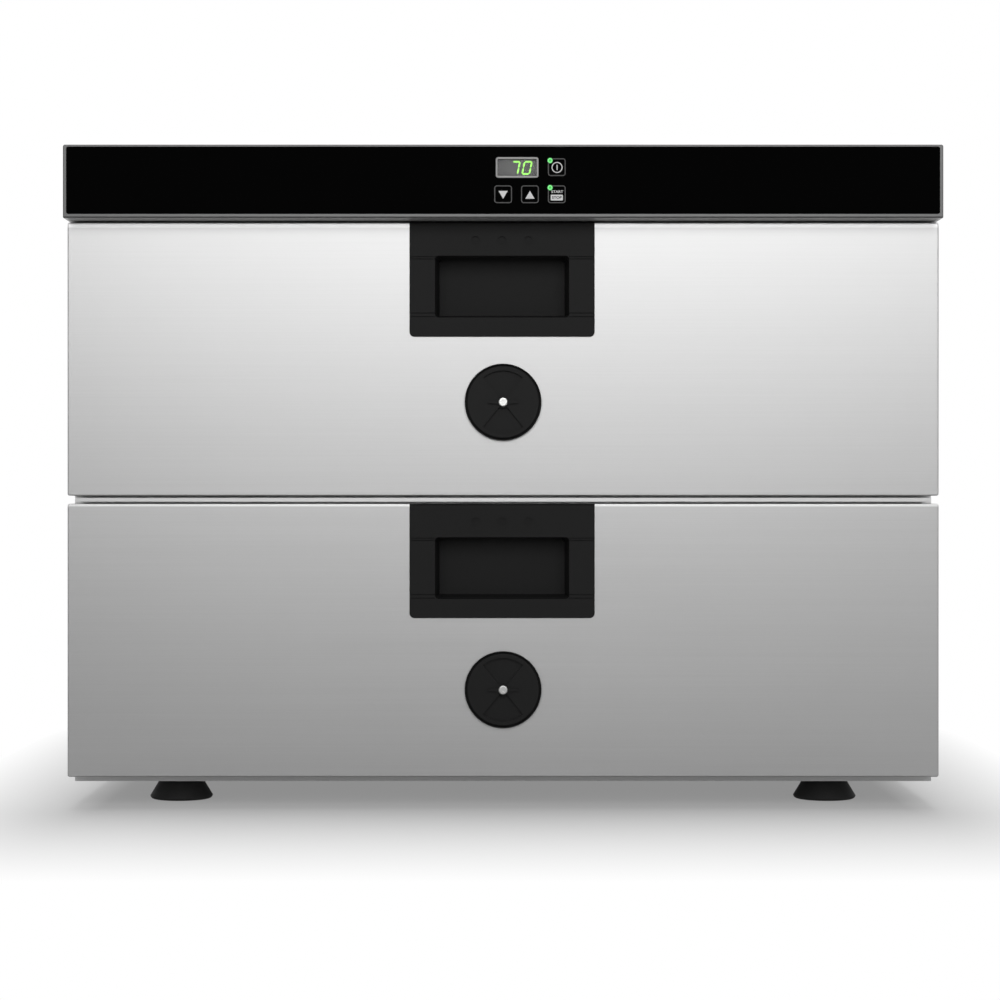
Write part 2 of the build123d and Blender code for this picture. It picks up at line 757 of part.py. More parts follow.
# ---------------------------------------------------------------- feet
with BuildPart() as one_foot:
    with BuildSketch(Plane.XZ):
        with BuildLine():
            heel = Line((0, 0), (foot_heel_radius, 0))
            belly = ThreePointArc(heel @ 1, foot_bulge, (foot_base_radius, foot_belly))
            flare = Line(belly @ 1, (foot_top_radius, foot_height))
            Line(flare @ 1, (0, foot_height))
            Line((0, foot_height), (0, 0))
        make_face()
    revolve(axis=Axis.Z)
    with Locations((0, 0, foot_recess / 2)):
        Cylinder(foot_recess_radius, foot_recess, mode=Mode.SUBTRACT)
    with Locations((0, 0, foot_height / 2)):
        Cylinder(screw_radius + hole_gap, foot_height, mode=Mode.SUBTRACT)

with BuildPart() as feet:
    with Locations(*[(x, y, 0) for x, y in foot_places]):
        add(one_foot.part)
finish(feet, "feet")

with BuildPart() as foot_screws:
    for x, y in foot_places:
        with Locations((x, y, foot_recess - screw_head / 2)):
            Cylinder(foot_screw_head, screw_head)
        z_tip = z_base + sheet + foot_screw_tip
        with Locations((x, y, (foot_recess + z_tip) / 2)):
            Cylinder(screw_radius, z_tip - foot_recess)
finish(foot_screws, "foot_screws")

# ================================================================ slides
rail_lip = rail_reach - rail_sheet
x_outer = chamber_half
x_middle = x_outer - rail_sheet - rail_gap
x_inner = carrier_half
rail_y = (y_rail_front, y_rail_rear)
inset = rail_sheet + rail_gap


def add_channel(x_web, reach, z_middle, height):
    """Channel pair, one on each side: web at |x_web|, lips reaching by a signed distance from it."""
    for side in (-1, 1):
        web_x = sorted((side * x_web, side * (x_web + rail_sheet * (1 if reach > 0 else -1))))
        block(web_x, rail_y, (z_middle - height / 2, z_middle + height / 2))
        lip_x = sorted((side * x_web, side * (x_web + reach)))
        for edge in (-1, 1):
            lip_z = sorted((z_middle + edge * height / 2, z_middle + edge * (height / 2 - rail_sheet)))
            block(lip_x, rail_y, lip_z)


for level in front_bottoms:
    z_rail = floors[level] + pan_flange_drop - carrier_depth / 2
    with BuildPart() as outer_rails:
        add_channel(x_outer, -rail_reach, z_rail, rail_height)
    finish(outer_rails, f"{level}_outer_rails")

    with BuildPart() as middle_rails:
        add_channel(x_middle, -rail_lip, z_rail, rail_height - 2 * inset)
    finish(middle_rails, f"{level}_middle_rails")

    with BuildPart() as inner_rails:
        inner_reach = x_middle - rail_sheet - rail_gap - x_inner
        add_channel(x_inner, inner_reach, z_rail, rail_height - 4 * inset)
    finish(inner_rails, f"{level}_inner_rails")

# ================================================================ drawers
window_arc = (90 - vent_window_half_angle, 2 * vent_window_half_angle)
with BuildSketch() as disc_window:
    with BuildLine():
        outer_arc = CenterArc((0, 0), vent_window_outer, *window_arc)
        inner_arc = CenterArc((0, 0), vent_window_inner, *window_arc)
        Line(outer_arc @ 0, inner_arc @ 0)
        Line(outer_arc @ 1, inner_arc @ 1)
    make_face()

seat_arc = (-seat_window_half_angle, 2 * seat_window_half_angle)
with BuildSketch() as seat_window:
    with BuildLine():
        outer_arc = CenterArc((0, 0), vent_window_outer - seat_window_inset, *seat_arc)
        inner_arc = CenterArc((0, 0), vent_window_inner + seat_window_inset, *seat_arc)
        Line(outer_arc @ 0, inner_arc @ 0)
        Line(outer_arc @ 1, inner_arc @ 1)
    make_face()

for level, bottom in front_bottoms.items():
    top = bottom + front_height
    floor = floors[level]
    z_vent = top - vent_drops[level]
    pocket_top = top - pocket_drop
    pocket_bottom = pocket_top - pocket_height
    pocket_middle = (pocket_top + pocket_bottom) / 2
    handle_middle = top - handle_height / 2
    y_handle = y_front - handle_proud
    y_pocket_rear = y_handle + pocket_depth
    shell_half = pocket_width / 2 + pocket_wall
    shell_x = (handle_x - shell_half, handle_x + shell_half)
    shell_hole_x = (shell_x[0] - fit_gap, shell_x[1] + fit_gap)
    shell_z = (pocket_bottom - pocket_wall, pocket_top + finger_room + pocket_wall)
    panel_x = across(half_width)
    inner_x = across(half_width - sheet)
    inner_z = (bottom + sheet, top - sheet)
    duct_hole = duct_radius + hole_gap
    y_disc = y_front - seat_proud - fit_gap - vent_disc_sheet

    with BuildPart() as front_skin:
        block(panel_x, (y_front, y_panel_rear), (bottom, top))
        fillet(front_skin.edges().filter_by(Axis.Y), front_corner)
        fillet(front_skin.faces().sort_by(Axis.Y)[0].edges(), front_edge)
        block(inner_x, (y_front + sheet, y_panel_rear), inner_z, mode=Mode.SUBTRACT)
        block(
            shell_hole_x,
            (y_front, y_front + sheet),
            (shell_z[0] - fit_gap, shell_z[1] + fit_gap),
            mode=Mode.SUBTRACT,
        )
        with BuildSketch(from_front(y_front)):
            with Locations((0, z_vent)):
                Circle(duct_hole)
        extrude(amount=-sheet, mode=Mode.SUBTRACT)
    finish(front_skin, f"{level}_front_skin")

    y_backing = y_panel_rear - backing_sheet
    z_screws = floor + pan_flange_drop - carrier_depth + front_screw_rise
    screw_xs = [carrier_half - inset for inset in front_screw_insets]
    front_screw_places = [(side * x, z_screws) for side in (-1, 1) for x in screw_xs]
    with BuildPart() as front_backing:
        block(inner_x, (y_backing, y_panel_rear), inner_z)
        with BuildSketch(from_front(y_backing)):
            with Locations((0, z_vent)):
                Circle(duct_hole)
            with Locations(*front_screw_places):
                Circle(screw_radius + hole_gap)
        extrude(amount=-backing_sheet, mode=Mode.SUBTRACT)
    finish(front_backing, f"{level}_front_backing")

    with BuildPart() as front_core:
        block(
            across(half_width - sheet - fit_gap),
            (y_front + sheet + fit_gap, y_backing - fit_gap),
            (inner_z[0] + fit_gap, inner_z[1] - fit_gap),
        )
        block(
            shell_hole_x,
            (y_front, y_pocket_rear + pocket_wall + fit_gap),
            (shell_z[0] - fit_gap, shell_z[1] + fit_gap),
            mode=Mode.SUBTRACT,
        )
        with BuildSketch(from_front(y_front)):
            with Locations((0, z_vent)):
                Circle(duct_hole)
            with Locations(*front_screw_places):
                Circle(screw_radius + screw_room)
        extrude(amount=-front_thickness, mode=Mode.SUBTRACT)
    finish(front_core, f"{level}_front_core")

    gasket_inner_half = chamber_half + gasket_margin
    gasket_inner_z = (floor - gasket_margin, floor + chamber_height + gasket_margin)
    with BuildPart() as front_gasket:
        gasket_y = (y_panel_rear, y_panel_rear + gasket_depth)
        block(
            across(gasket_inner_half + gasket_width),
            gasket_y,
            (gasket_inner_z[0] - gasket_width, gasket_inner_z[1] + gasket_width),
        )
        block(across(gasket_inner_half), gasket_y, gasket_inner_z, mode=Mode.SUBTRACT)
        fillet(front_gasket.faces().sort_by(Axis.Y)[-1].edges(), gasket_edge)
    finish(front_gasket, f"{level}_front_gasket")

    with BuildPart() as handle:
        with BuildSketch(from_front(y_handle)) as plate_outline:
            with Locations((handle_x, handle_middle)):
                Rectangle(handle_width, handle_height)
            fillet(plate_outline.vertices().group_by(Axis.Y)[0], handle_corner)
        extrude(amount=-handle_proud)
        fillet(handle.faces().sort_by(Axis.Y)[0].edges(), handle_edge)
        block(shell_x, (y_front, y_pocket_rear + pocket_wall), shell_z)
        with BuildSketch(from_front(y_handle)):
            with Locations((handle_x, pocket_middle)):
                RectangleRounded(pocket_width, pocket_height, pocket_corner)
        extrude(amount=-pocket_depth, taper=pocket_draft, mode=Mode.SUBTRACT)
        block(
            (handle_x - finger_room_half, handle_x + finger_room_half),
            (y_handle + finger_lip, y_pocket_rear),
            (pocket_top - finger_room_drop, pocket_top + finger_room),
            mode=Mode.SUBTRACT,
        )
        for drop in groove_drops:
            for side in (-1, 1):
                groove_x = sorted((handle_x + side * pocket_width / 2, handle_x + side * handle_width / 2))
                block(
                    groove_x,
                    (y_handle, y_handle + groove_depth),
                    (top - drop - groove_width / 2, top - drop + groove_width / 2),
                    mode=Mode.SUBTRACT,
                )
        with BuildSketch(from_front(y_handle)):
            with Locations((handle_x, top - dimple_drop)):
                with GridLocations(dimple_pitch, 0, 3, 1):
                    Circle(dimple_radius)
        extrude(amount=-dimple_depth, mode=Mode.SUBTRACT)
        block(
            (handle_x - handle_width / 2, handle_x + handle_width / 2),
            (y_handle, y_handle + seam_depth),
            (top - seam_drop - seam_height, top - seam_drop),
            mode=Mode.SUBTRACT,
        )
    finish(handle, f"{level}_handle")

    with BuildPart() as vent_seat:
        with BuildSketch(from_front(y_front - seat_proud)):
            with Locations((0, z_vent)):
                Circle(vent_radius)
        extrude(amount=-seat_proud)
        with BuildSketch(from_front(y_disc)):
            with Locations((0, z_vent)):
                Circle(vent_radius)
                Circle(vent_radius - seat_rim, mode=Mode.SUBTRACT)
        extrude(amount=-(y_front - y_disc))
        with BuildSketch(from_front(y_front - seat_proud)):
            with Locations((0, z_vent)):
                Circle(vent_radius - seat_rim)
                Circle(vent_disc_radius - seat_rim, mode=Mode.SUBTRACT)
        extrude(amount=-seat_trench, mode=Mode.SUBTRACT)
        with BuildSketch(from_front(y_front)):
            with Locations((0, z_vent)):
                Circle(duct_radius)
        extrude(amount=-front_thickness)
        with BuildSketch(from_front(y_front - seat_proud + seat_web)):
            with Locations((0, z_vent)):
                Circle(duct_radius - duct_wall)
        extrude(amount=-(front_thickness + seat_proud - seat_web), mode=Mode.SUBTRACT)
        with BuildSketch(from_front(y_front - seat_proud)):
            with Locations((0, z_vent)):
                add(seat_window.sketch)
                add(seat_window.sketch, rotation=180)
                Circle(rivet_radius + rivet_running_gap)
        extrude(amount=-seat_web, mode=Mode.SUBTRACT)
    finish(vent_seat, f"{level}_vent_seat")

    with BuildPart() as vent_disc:
        with BuildSketch(from_front(y_disc)):
            with Locations((0, z_vent)):
                Circle(vent_disc_radius)
        extrude(amount=-vent_disc_sheet)
        fillet(vent_disc.edges().group_by(Axis.Y)[0], 0.8)
        with BuildSketch(from_front(y_disc)):
            with Locations((0, z_vent)):
                add(disc_window.sketch)
                add(disc_window.sketch, rotation=180)
        extrude(amount=-vent_disc_sheet, mode=Mode.SUBTRACT)
        with BuildSketch(from_front(y_disc - grip_rise)):
            with Locations((0, z_vent)):
                Polygon(
                    (-grip_half_length, grip_end),
                    (-grip_half_height, grip_root),
                    (0, grip_half_height),
                    (grip_half_height, grip_root),
                    (grip_half_length, grip_end),
                    (grip_half_length, -grip_end),
                    (grip_half_height, -grip_root),
                    (0, -grip_half_height),
                    (-grip_half_height, -grip_root),
                    (-grip_half_length, -grip_end),
                )
        extrude(amount=-grip_rise)
        with BuildSketch(from_front(y_disc - grip_rise)):
            with Locations((0, z_vent)):
                Circle(rivet_radius + rivet_running_gap)
        extrude(amount=-(grip_rise + vent_disc_sheet), mode=Mode.SUBTRACT)
    finish(vent_disc, f"{level}_vent_disc")

    y_rivet_head = y_disc - grip_rise - fit_gap
    y_rivet_tail = y_front - seat_proud + seat_web
    with BuildPart() as vent_rivet:
        with BuildSketch(from_front(y_rivet_head - rivet_head_rise)):
            with Locations((0, z_vent)):
                Circle(rivet_head_radius)
        extrude(amount=-rivet_head_rise)
        fillet(vent_rivet.edges().group_by(Axis.Y)[0], rivet_head_rise * 0.8)
        with BuildSketch(from_front(y_rivet_head - rivet_head_rise)):
            with Locations((0, z_vent)):
                Circle(rivet_dimple_radius)
        extrude(amount=-rivet_dimple, mode=Mode.SUBTRACT)
        with BuildSketch(from_front(y_rivet_head)):
            with Locations((0, z_vent)):
                Circle(rivet_radius)
        extrude(amount=-(y_rivet_tail - y_rivet_head))
        with BuildSketch(from_front(y_rivet_tail)):
            with Locations((0, z_vent)):
                Circle(rivet_head_radius)
        extrude(amount=-rivet_tail)
    finish(vent_rivet, f"{level}_vent_rivet")

    z_carrier = floor + pan_flange_drop
    y_pan_front = y_panel_rear + pan_setback
    y_pan_rear = y_pan_front + pan_width
    carrier_y = (y_panel_rear, y_panel_rear + carrier_length)
    with BuildPart() as drawer_carrier:
        block(across(carrier_half), carrier_y, (z_carrier - carrier_depth, z_carrier))
        block(
            across(carrier_half - carrier_sheet),
            (carrier_y[0] + carrier_sheet, carrier_y[1] - carrier_sheet),
            (z_carrier - carrier_depth, z_carrier - carrier_sheet),
            mode=Mode.SUBTRACT,
        )
        rim_seat = pan_rim - pan_slip
        block(
            across(pan_length / 2 - rim_seat),
            (y_pan_front + rim_seat, y_pan_rear - rim_seat),
            (z_carrier - carrier_sheet, z_carrier),
            mode=Mode.SUBTRACT,
        )
        block(
            across(carrier_half - carrier_front_reach),
            (carrier_y[0], carrier_y[0] + carrier_sheet),
            (z_carrier - carrier_depth, z_carrier - carrier_depth / 2),
            mode=Mode.SUBTRACT,
        )
        with BuildSketch(from_front(carrier_y[0])):
            with Locations(*front_screw_places):
                Circle(screw_radius + hole_gap)
        extrude(amount=-carrier_sheet, mode=Mode.SUBTRACT)
    finish(drawer_carrier, f"{level}_drawer_carrier")

    with BuildPart() as drawer_screws:
        y_screw = carrier_y[0] + carrier_sheet
        with Locations(*[Location((x, y_screw, z), (-90, 0, 0)) for x, z in front_screw_places]):
            add(pan_head_screw.part)
    finish(drawer_screws, f"{level}_drawer_screws")

    pan_y = (y_pan_front + y_pan_rear) / 2
    with BuildPart() as food_pan:
        with BuildSketch(Plane.XY.offset(z_carrier)):
            with Locations((0, pan_y)):
                RectangleRounded(pan_length, pan_width, pan_rim_corner)
        extrude(amount=pan_sheet)
        with BuildSketch(Plane.XY.offset(z_carrier)):
            with Locations((0, pan_y)):
                RectangleRounded(pan_length - 2 * pan_rim, pan_width - 2 * pan_rim, pan_corner)
        extrude(amount=-pan_depth, taper=pan_draft)
        with BuildSketch(Plane.XY.offset(z_carrier + pan_sheet)):
            with Locations((0, pan_y)):
                RectangleRounded(
                    pan_length - 2 * pan_rim - 2 * pan_sheet,
                    pan_width - 2 * pan_rim - 2 * pan_sheet,
                    pan_corner - pan_sheet,
                )
        extrude(amount=-pan_depth, taper=pan_draft, mode=Mode.SUBTRACT)
    finish(food_pan, f"{level}_food_pan")
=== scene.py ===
"""Looks of a two-drawer heated holding cabinet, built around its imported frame."""

import json
import logging
import math
from dataclasses import dataclass, field
from enum import Enum

import bmesh
import bpy
from mathutils import Matrix, Vector


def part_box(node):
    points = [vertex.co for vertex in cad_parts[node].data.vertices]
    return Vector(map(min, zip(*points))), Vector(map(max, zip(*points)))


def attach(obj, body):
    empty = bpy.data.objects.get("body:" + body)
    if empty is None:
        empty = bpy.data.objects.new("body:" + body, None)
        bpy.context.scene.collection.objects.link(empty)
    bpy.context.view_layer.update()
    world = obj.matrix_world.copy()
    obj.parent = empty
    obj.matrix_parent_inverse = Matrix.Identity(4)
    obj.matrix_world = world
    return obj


LOG = logging.getLogger("holding_cabinet")

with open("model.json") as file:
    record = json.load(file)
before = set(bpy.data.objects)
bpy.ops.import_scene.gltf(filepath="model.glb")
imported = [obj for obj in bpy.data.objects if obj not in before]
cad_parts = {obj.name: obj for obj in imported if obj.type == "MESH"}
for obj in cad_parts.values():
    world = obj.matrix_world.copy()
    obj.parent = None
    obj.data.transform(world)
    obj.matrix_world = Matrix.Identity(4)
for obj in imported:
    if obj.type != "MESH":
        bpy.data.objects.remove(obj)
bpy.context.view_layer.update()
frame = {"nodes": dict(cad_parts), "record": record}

MM = 0.001
WELD = 0.001 * MM  # points nearer than this are one


class Along(Enum):
    """Direction in which a sheet was brushed."""

    ACROSS_THE_FRONT = (5.0, 5.0, 1500.0)
    DOWN_THE_SIDE = (5.0, 1500.0, 5.0)


class NodeSheet:
    """Small helper that lays out and wires shader nodes in one tree."""

    def __init__(self, tree: bpy.types.NodeTree) -> None:
        """Keep the tree that nodes are added to.

        Args:
            tree: node tree of a material, a world or a node group.
        """
        self.tree = tree

    def add(self, kind: str, inputs: dict | None = None, **settings: object) -> bpy.types.Node:
        """Add a node, set its properties and fill or wire its inputs.

        Args:
            kind: Blender's identifier of the node type.
            inputs: input name or number to a plain value or an output socket.
            **settings: properties set on the node itself.

        Returns:
            The new node.
        """
        node = self.tree.nodes.new(kind)
        for name, value in settings.items():
            setattr(node, name, value)
        for name, value in (inputs or {}).items():
            socket = node.inputs[name]
            if isinstance(value, bpy.types.NodeSocket):
                self.tree.links.new(value, socket)
            else:
                socket.default_value = value
        return node

    def math(self, operation: str, first: object, second: object = 0.0) -> bpy.types.NodeSocket:
        """Wire one Math node.

        Args:
            operation: Blender's name of the operation.
            first: value or socket of the first input.
            second: value or socket of the second input.

        Returns:
            The node's output socket.
        """
        return self.add("ShaderNodeMath", {0: first, 1: second}, operation=operation).outputs[0]


def new_group(name: str, inputs: dict[str, float], outputs: tuple[str, ...]) -> bpy.types.NodeTree:
    """Make a shader node group with number sockets.

    Args:
        name: the group's name.
        inputs: input names with their defaults.
        outputs: output names.

    Returns:
        The empty group.
    """
    group = bpy.data.node_groups.new(name, "ShaderNodeTree")
    for socket, default in inputs.items():
        made = group.interface.new_socket(socket, in_out="INPUT", socket_type="NodeSocketFloat")
        made.default_value = default
    for socket in outputs:
        group.interface.new_socket(socket, in_out="OUTPUT", socket_type="NodeSocketFloat")
    return group


def grain_group() -> bpy.types.NodeTree:
    """Fine parallel scratches of brushed sheet: along X, and on level faces across Y.

    Returns:
        The group, whose outputs are Streak, from 0 to 1, and Cloud, a slow drift from 0 to 1.
    """
    group = new_group("brushed_grain", {"Fineness": 1.0}, ("Streak", "Cloud"))
    level_from = 0.7  # upward part of the normal above which a face counts as level
    scratches = {"Scale": 1.0, "Detail": 3.0}
    drift = {"Scale": 4.0, "Detail": 2.0}
    sheet = NodeSheet(group)
    given = sheet.add("NodeGroupInput")
    place = sheet.add("ShaderNodeTexCoord").outputs["Object"]
    fine = sheet.add("ShaderNodeVectorMath", {0: place, 3: given.outputs["Fineness"]}, operation="SCALE")
    normal = sheet.add("ShaderNodeSeparateXYZ", {0: sheet.add("ShaderNodeNewGeometry").outputs["Normal"]})
    level = sheet.math("GREATER_THAN", sheet.math("ABSOLUTE", normal.outputs["Z"]), level_from)
    streaks = []
    for along in Along:
        stretched = sheet.add("ShaderNodeMapping", {0: fine.outputs[0], 3: along.value})
        noise = sheet.add("ShaderNodeTexNoise", {"Vector": stretched.outputs[0]} | scratches)
        streaks.append(noise.outputs["Fac"])
    chosen = sheet.add("ShaderNodeMix", {0: level, 2: streaks[0], 3: streaks[1]}, data_type="FLOAT")
    cloud = sheet.add("ShaderNodeTexNoise", {"Vector": place} | drift)
    result = sheet.add("NodeGroupOutput")
    group.links.new(chosen.outputs[0], result.inputs["Streak"])
    group.links.new(cloud.outputs["Fac"], result.inputs["Cloud"])
    return group


def grit_group() -> bpy.types.NodeTree:
    """Fine even grit of a moulded surface.

    Returns:
        The group, whose outputs are Grit and Cloud, both from 0 to 1.
    """
    group = new_group("moulded_grit", {"Size": 0.4}, ("Grit", "Cloud"))
    drift = {"Scale": 9.0, "Detail": 3.0}
    sheet = NodeSheet(group)
    given = sheet.add("NodeGroupInput")
    place = sheet.add("ShaderNodeTexCoord").outputs["Object"]
    scale = sheet.math("DIVIDE", 1 / MM, given.outputs["Size"])
    grit = sheet.add("ShaderNodeTexNoise", {"Vector": place, "Scale": scale, "Detail": 1.0})
    cloud = sheet.add("ShaderNodeTexNoise", {"Vector": place} | drift)
    result = sheet.add("NodeGroupOutput")
    group.links.new(grit.outputs["Fac"], result.inputs["Grit"])
    group.links.new(cloud.outputs["Fac"], result.inputs["Cloud"])
    return group


@dataclass(frozen=True)
class Finish:
    """One surface finish, whose shader is built by its subclass."""

    name: str
    colour: tuple[float, float, float]
    roughness: float

    def build(self) -> bpy.types.Material:
        """Make the material.

        Returns:
            The finished node material.
        """
        material = bpy.data.materials.new(self.name)
        material.use_nodes = True
        material.node_tree.nodes.clear()
        sheet = NodeSheet(material.node_tree)
        shader = sheet.add("ShaderNodeBsdfPrincipled")
        shader.inputs["Base Color"].default_value = (*self.colour, 1.0)
        shader.inputs["Roughness"].default_value = self.roughness
        self.dress(sheet, shader)
        sheet.add("ShaderNodeOutputMaterial", {"Surface": shader.outputs[0]})
        material.diffuse_color = (*self.colour, 1.0)
        return material

    def dress(self, sheet: NodeSheet, shader: bpy.types.Node) -> None:
        """Add what the plain shader lacks; a plain finish adds nothing.

        Args:
            sheet: the material's nodes.
            shader: its Principled shader.
        """

    def vary(
        self,
        sheet: NodeSheet,
        shader: bpy.types.Node,
        mask: bpy.types.NodeSocket,
        colour_swing: float,
        roughness_swing: float,
    ) -> None:
        """Let colour and roughness drift with a mask from 0 to 1.

        Args:
            sheet: the material's nodes.
            shader: its Principled shader.
            mask: the mask.
            colour_swing: how far the colour drifts, as a share.
            roughness_swing: how far the roughness drifts.
        """
        low = tuple(channel * (1 - colour_swing) for channel in self.colour)
        high = tuple(min(1.0, channel * (1 + colour_swing)) for channel in self.colour)
        colour = sheet.add(
            "ShaderNodeMix", {0: mask, 6: (*low, 1.0), 7: (*high, 1.0)}, data_type="RGBA"
        )
        rough = sheet.add(
            "ShaderNodeMapRange",
            {0: mask, 3: self.roughness - roughness_swing, 4: self.roughness + roughness_swing},
        )
        sheet.tree.links.new(colour.outputs[2], shader.inputs["Base Color"])
        sheet.tree.links.new(rough.outputs[0], shader.inputs["Roughness"])

    def bump(
        self, sheet: NodeSheet, shader: bpy.types.Node, height: bpy.types.NodeSocket, depth: float
    ) -> None:
        """Raise the surface by a height mask.

        Args:
            sheet: the material's nodes.
            shader: its Principled shader.
            height: the mask.
            depth: the bump's depth in metres.
        """
        bump = sheet.add("ShaderNodeBump", {"Height": height, "Distance": depth, "Strength": 1.0})
        sheet.tree.links.new(bump.outputs[0], shader.inputs["Normal"])


@dataclass(frozen=True)
class BrushedSteel(Finish):
    """Sheet steel with fine parallel grain."""

    streak: float = 0.06
    fineness: float = 1.0
    grain_share: float = 0.7  # of the grain in the unevenness, the rest being slow drift
    roughness_share: float = 0.6  # of the streak
    grain_depth: float = 0.012 * MM

    def dress(self, sheet: NodeSheet, shader: bpy.types.Node) -> None:
        """Add metal, grain and a slow drift of the brushing.

        Args:
            sheet: the material's nodes.
            shader: its Principled shader.
        """
        shader.inputs["Metallic"].default_value = 1.0
        grain = sheet.add("ShaderNodeGroup", node_tree=bpy.data.node_groups["brushed_grain"])
        grain.inputs["Fineness"].default_value = self.fineness
        drift = sheet.math("MULTIPLY", grain.outputs["Cloud"], 1 - self.grain_share)
        mask = sheet.math("ADD", sheet.math("MULTIPLY", grain.outputs["Streak"], self.grain_share), drift)
        self.vary(sheet, shader, mask, self.streak, self.streak * self.roughness_share)
        self.bump(sheet, shader, grain.outputs["Streak"], self.grain_depth)


@dataclass(frozen=True)
class PaintedHemShadeSteel(BrushedSteel):
    """Brushed sheet whose front border carries painted shade, a darker band, with a matt underside."""

    node: str = ""
    # the front border gets painted shade: a darker colour in place of the darker surroundings that its lip
    # would reflect
    painted_shade_depth: float = 1.0 * MM
    painted_shade_colour: tuple[float, float, float] = (0.12, 0.12, 0.12)
    under_height: float = 0.15 * MM
    under_colour: tuple[float, float, float] = (0.4, 0.4, 0.4)

    def dress(self, sheet: NodeSheet, shader: bpy.types.Node) -> None:
        """Paint shade on the front border as a darker tint, and take the shine off the underside.

        Args:
            sheet: the material's nodes.
            shader: its Principled shader.
        """
        super().dress(sheet, shader)
        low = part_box(self.node)[0]
        place = sheet.add("ShaderNodeTexCoord").outputs["Object"]
        axes = sheet.add("ShaderNodeSeparateXYZ", {0: place}).outputs
        # painted shade on the hood's front border
        painted_shade_band = sheet.math("LESS_THAN", axes["Y"], low.y + self.painted_shade_depth)
        under = sheet.math("LESS_THAN", axes["Z"], low.z + self.under_height)
        colour = shader.inputs["Base Color"].links[0].from_socket
        for mask, tint in ((painted_shade_band, self.painted_shade_colour), (under, self.under_colour)):
            mixed = sheet.add("ShaderNodeMix", {0: mask, 6: colour, 7: (*tint, 1.0)}, data_type="RGBA")
            colour = mixed.outputs[2]
        sheet.tree.links.new(colour, shader.inputs["Base Color"])
        sheet.tree.links.new(sheet.math("SUBTRACT", 1.0, under), shader.inputs["Metallic"])


@dataclass(frozen=True)
class PaintedHighlightSteel(BrushedSteel):
    """Brushed sheet whose front face carries a painted highlight, brighter towards its top edge."""

    node: str = ""
    # painted highlight along the top edge; on the upper front it also lightens the shade cast by the hood
    highlight_start: float = 4.5 * MM  # below the top edge
    highlight_end: float = 2.0 * MM
    highlight_colour: tuple[float, float, float] = (0.97, 0.97, 0.97)
    face_depth: float = 0.9 * MM  # only the front face and its rounded edge

    def dress(self, sheet: NodeSheet, shader: bpy.types.Node) -> None:
        """Paint a highlight on the front face's top edge.

        Args:
            sheet: the material's nodes.
            shader: its Principled shader.
        """
        super().dress(sheet, shader)
        low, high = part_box(self.node)
        place = sheet.add("ShaderNodeTexCoord").outputs["Object"]
        axes = sheet.add("ShaderNodeSeparateXYZ", {0: place}).outputs
        limits = {1: high.z - self.highlight_start, 2: high.z - self.highlight_end}
        highlight_band = sheet.add("ShaderNodeMapRange", {0: axes["Z"]} | limits)
        face = sheet.math("LESS_THAN", axes["Y"], low.y + self.face_depth)
        # painted highlight: only on the front face near the top edge
        mask = sheet.math("MULTIPLY", highlight_band.outputs[0], face)
        plain = shader.inputs["Base Color"].links[0].from_socket
        mixed = sheet.add(
            "ShaderNodeMix", {0: mask, 6: plain, 7: (*self.highlight_colour, 1.0)}, data_type="RGBA"
        )
        sheet.tree.links.new(mixed.outputs[2], shader.inputs["Base Color"])


@dataclass(frozen=True)
class Moulded(Finish):
    """Moulded plastic or rubber with a fine grit."""

    grit_size: float = 0.45
    grit_depth: float = 0.02 * MM
    specular: float = 0.3
    swings: tuple[float, float] = (0.18, 0.05)  # of colour and of roughness

    def dress(self, sheet: NodeSheet, shader: bpy.types.Node) -> None:
        """Add the grit and a faint unevenness of tone.

        Args:
            sheet: the material's nodes.
            shader: its Principled shader.
        """
        shader.inputs["Specular IOR Level"].default_value = self.specular
        grit = sheet.add("ShaderNodeGroup", node_tree=bpy.data.node_groups["moulded_grit"])
        grit.inputs["Size"].default_value = self.grit_size
        self.vary(sheet, shader, grit.outputs["Cloud"], *self.swings)
        self.bump(sheet, shader, grit.outputs["Grit"], self.grit_depth)


@dataclass(frozen=True)
class Polished(Finish):
    """Smooth glossy plastic with a trace of dust in its sheen."""

    specular: float = 0.5
    dust_size: float = 2.5
    colour_swing: float = 0.1
    roughness_share: float = 0.3

    def dress(self, sheet: NodeSheet, shader: bpy.types.Node) -> None:
        """Add the sheen's unevenness.

        Args:
            sheet: the material's nodes.
            shader: its Principled shader.
        """
        shader.inputs["Specular IOR Level"].default_value = self.specular
        grit = sheet.add("ShaderNodeGroup", node_tree=bpy.data.node_groups["moulded_grit"])
        grit.inputs["Size"].default_value = self.dust_size
        self.vary(
            sheet, shader, grit.outputs["Cloud"], self.colour_swing, self.roughness * self.roughness_share
        )


@dataclass(frozen=True)
class Glow(Finish):
    """Lit plastic of a display segment or an indicator."""

    strength: float = 1.0
    specular: float = 0.1
    grit_size: float = 1.2
    dimmest: float = 0.85

    def dress(self, sheet: NodeSheet, shader: bpy.types.Node) -> None:
        """Add the light, a little uneven like a lit segment.

        Args:
            sheet: the material's nodes.
            shader: its Principled shader.
        """
        shader.inputs["Specular IOR Level"].default_value = self.specular
        grit = sheet.add("ShaderNodeGroup", node_tree=bpy.data.node_groups["moulded_grit"])
        grit.inputs["Size"].default_value = self.grit_size
        low = tuple(channel * self.dimmest for channel in self.colour)
        glow = sheet.add(
            "ShaderNodeMix",
            {0: grit.outputs["Grit"], 6: (*low, 1.0), 7: (*self.colour, 1.0)},
            data_type="RGBA",
        )
        sheet.tree.links.new(glow.outputs[2], shader.inputs["Emission Color"])
        shader.inputs["Emission Strength"].default_value = self.strength


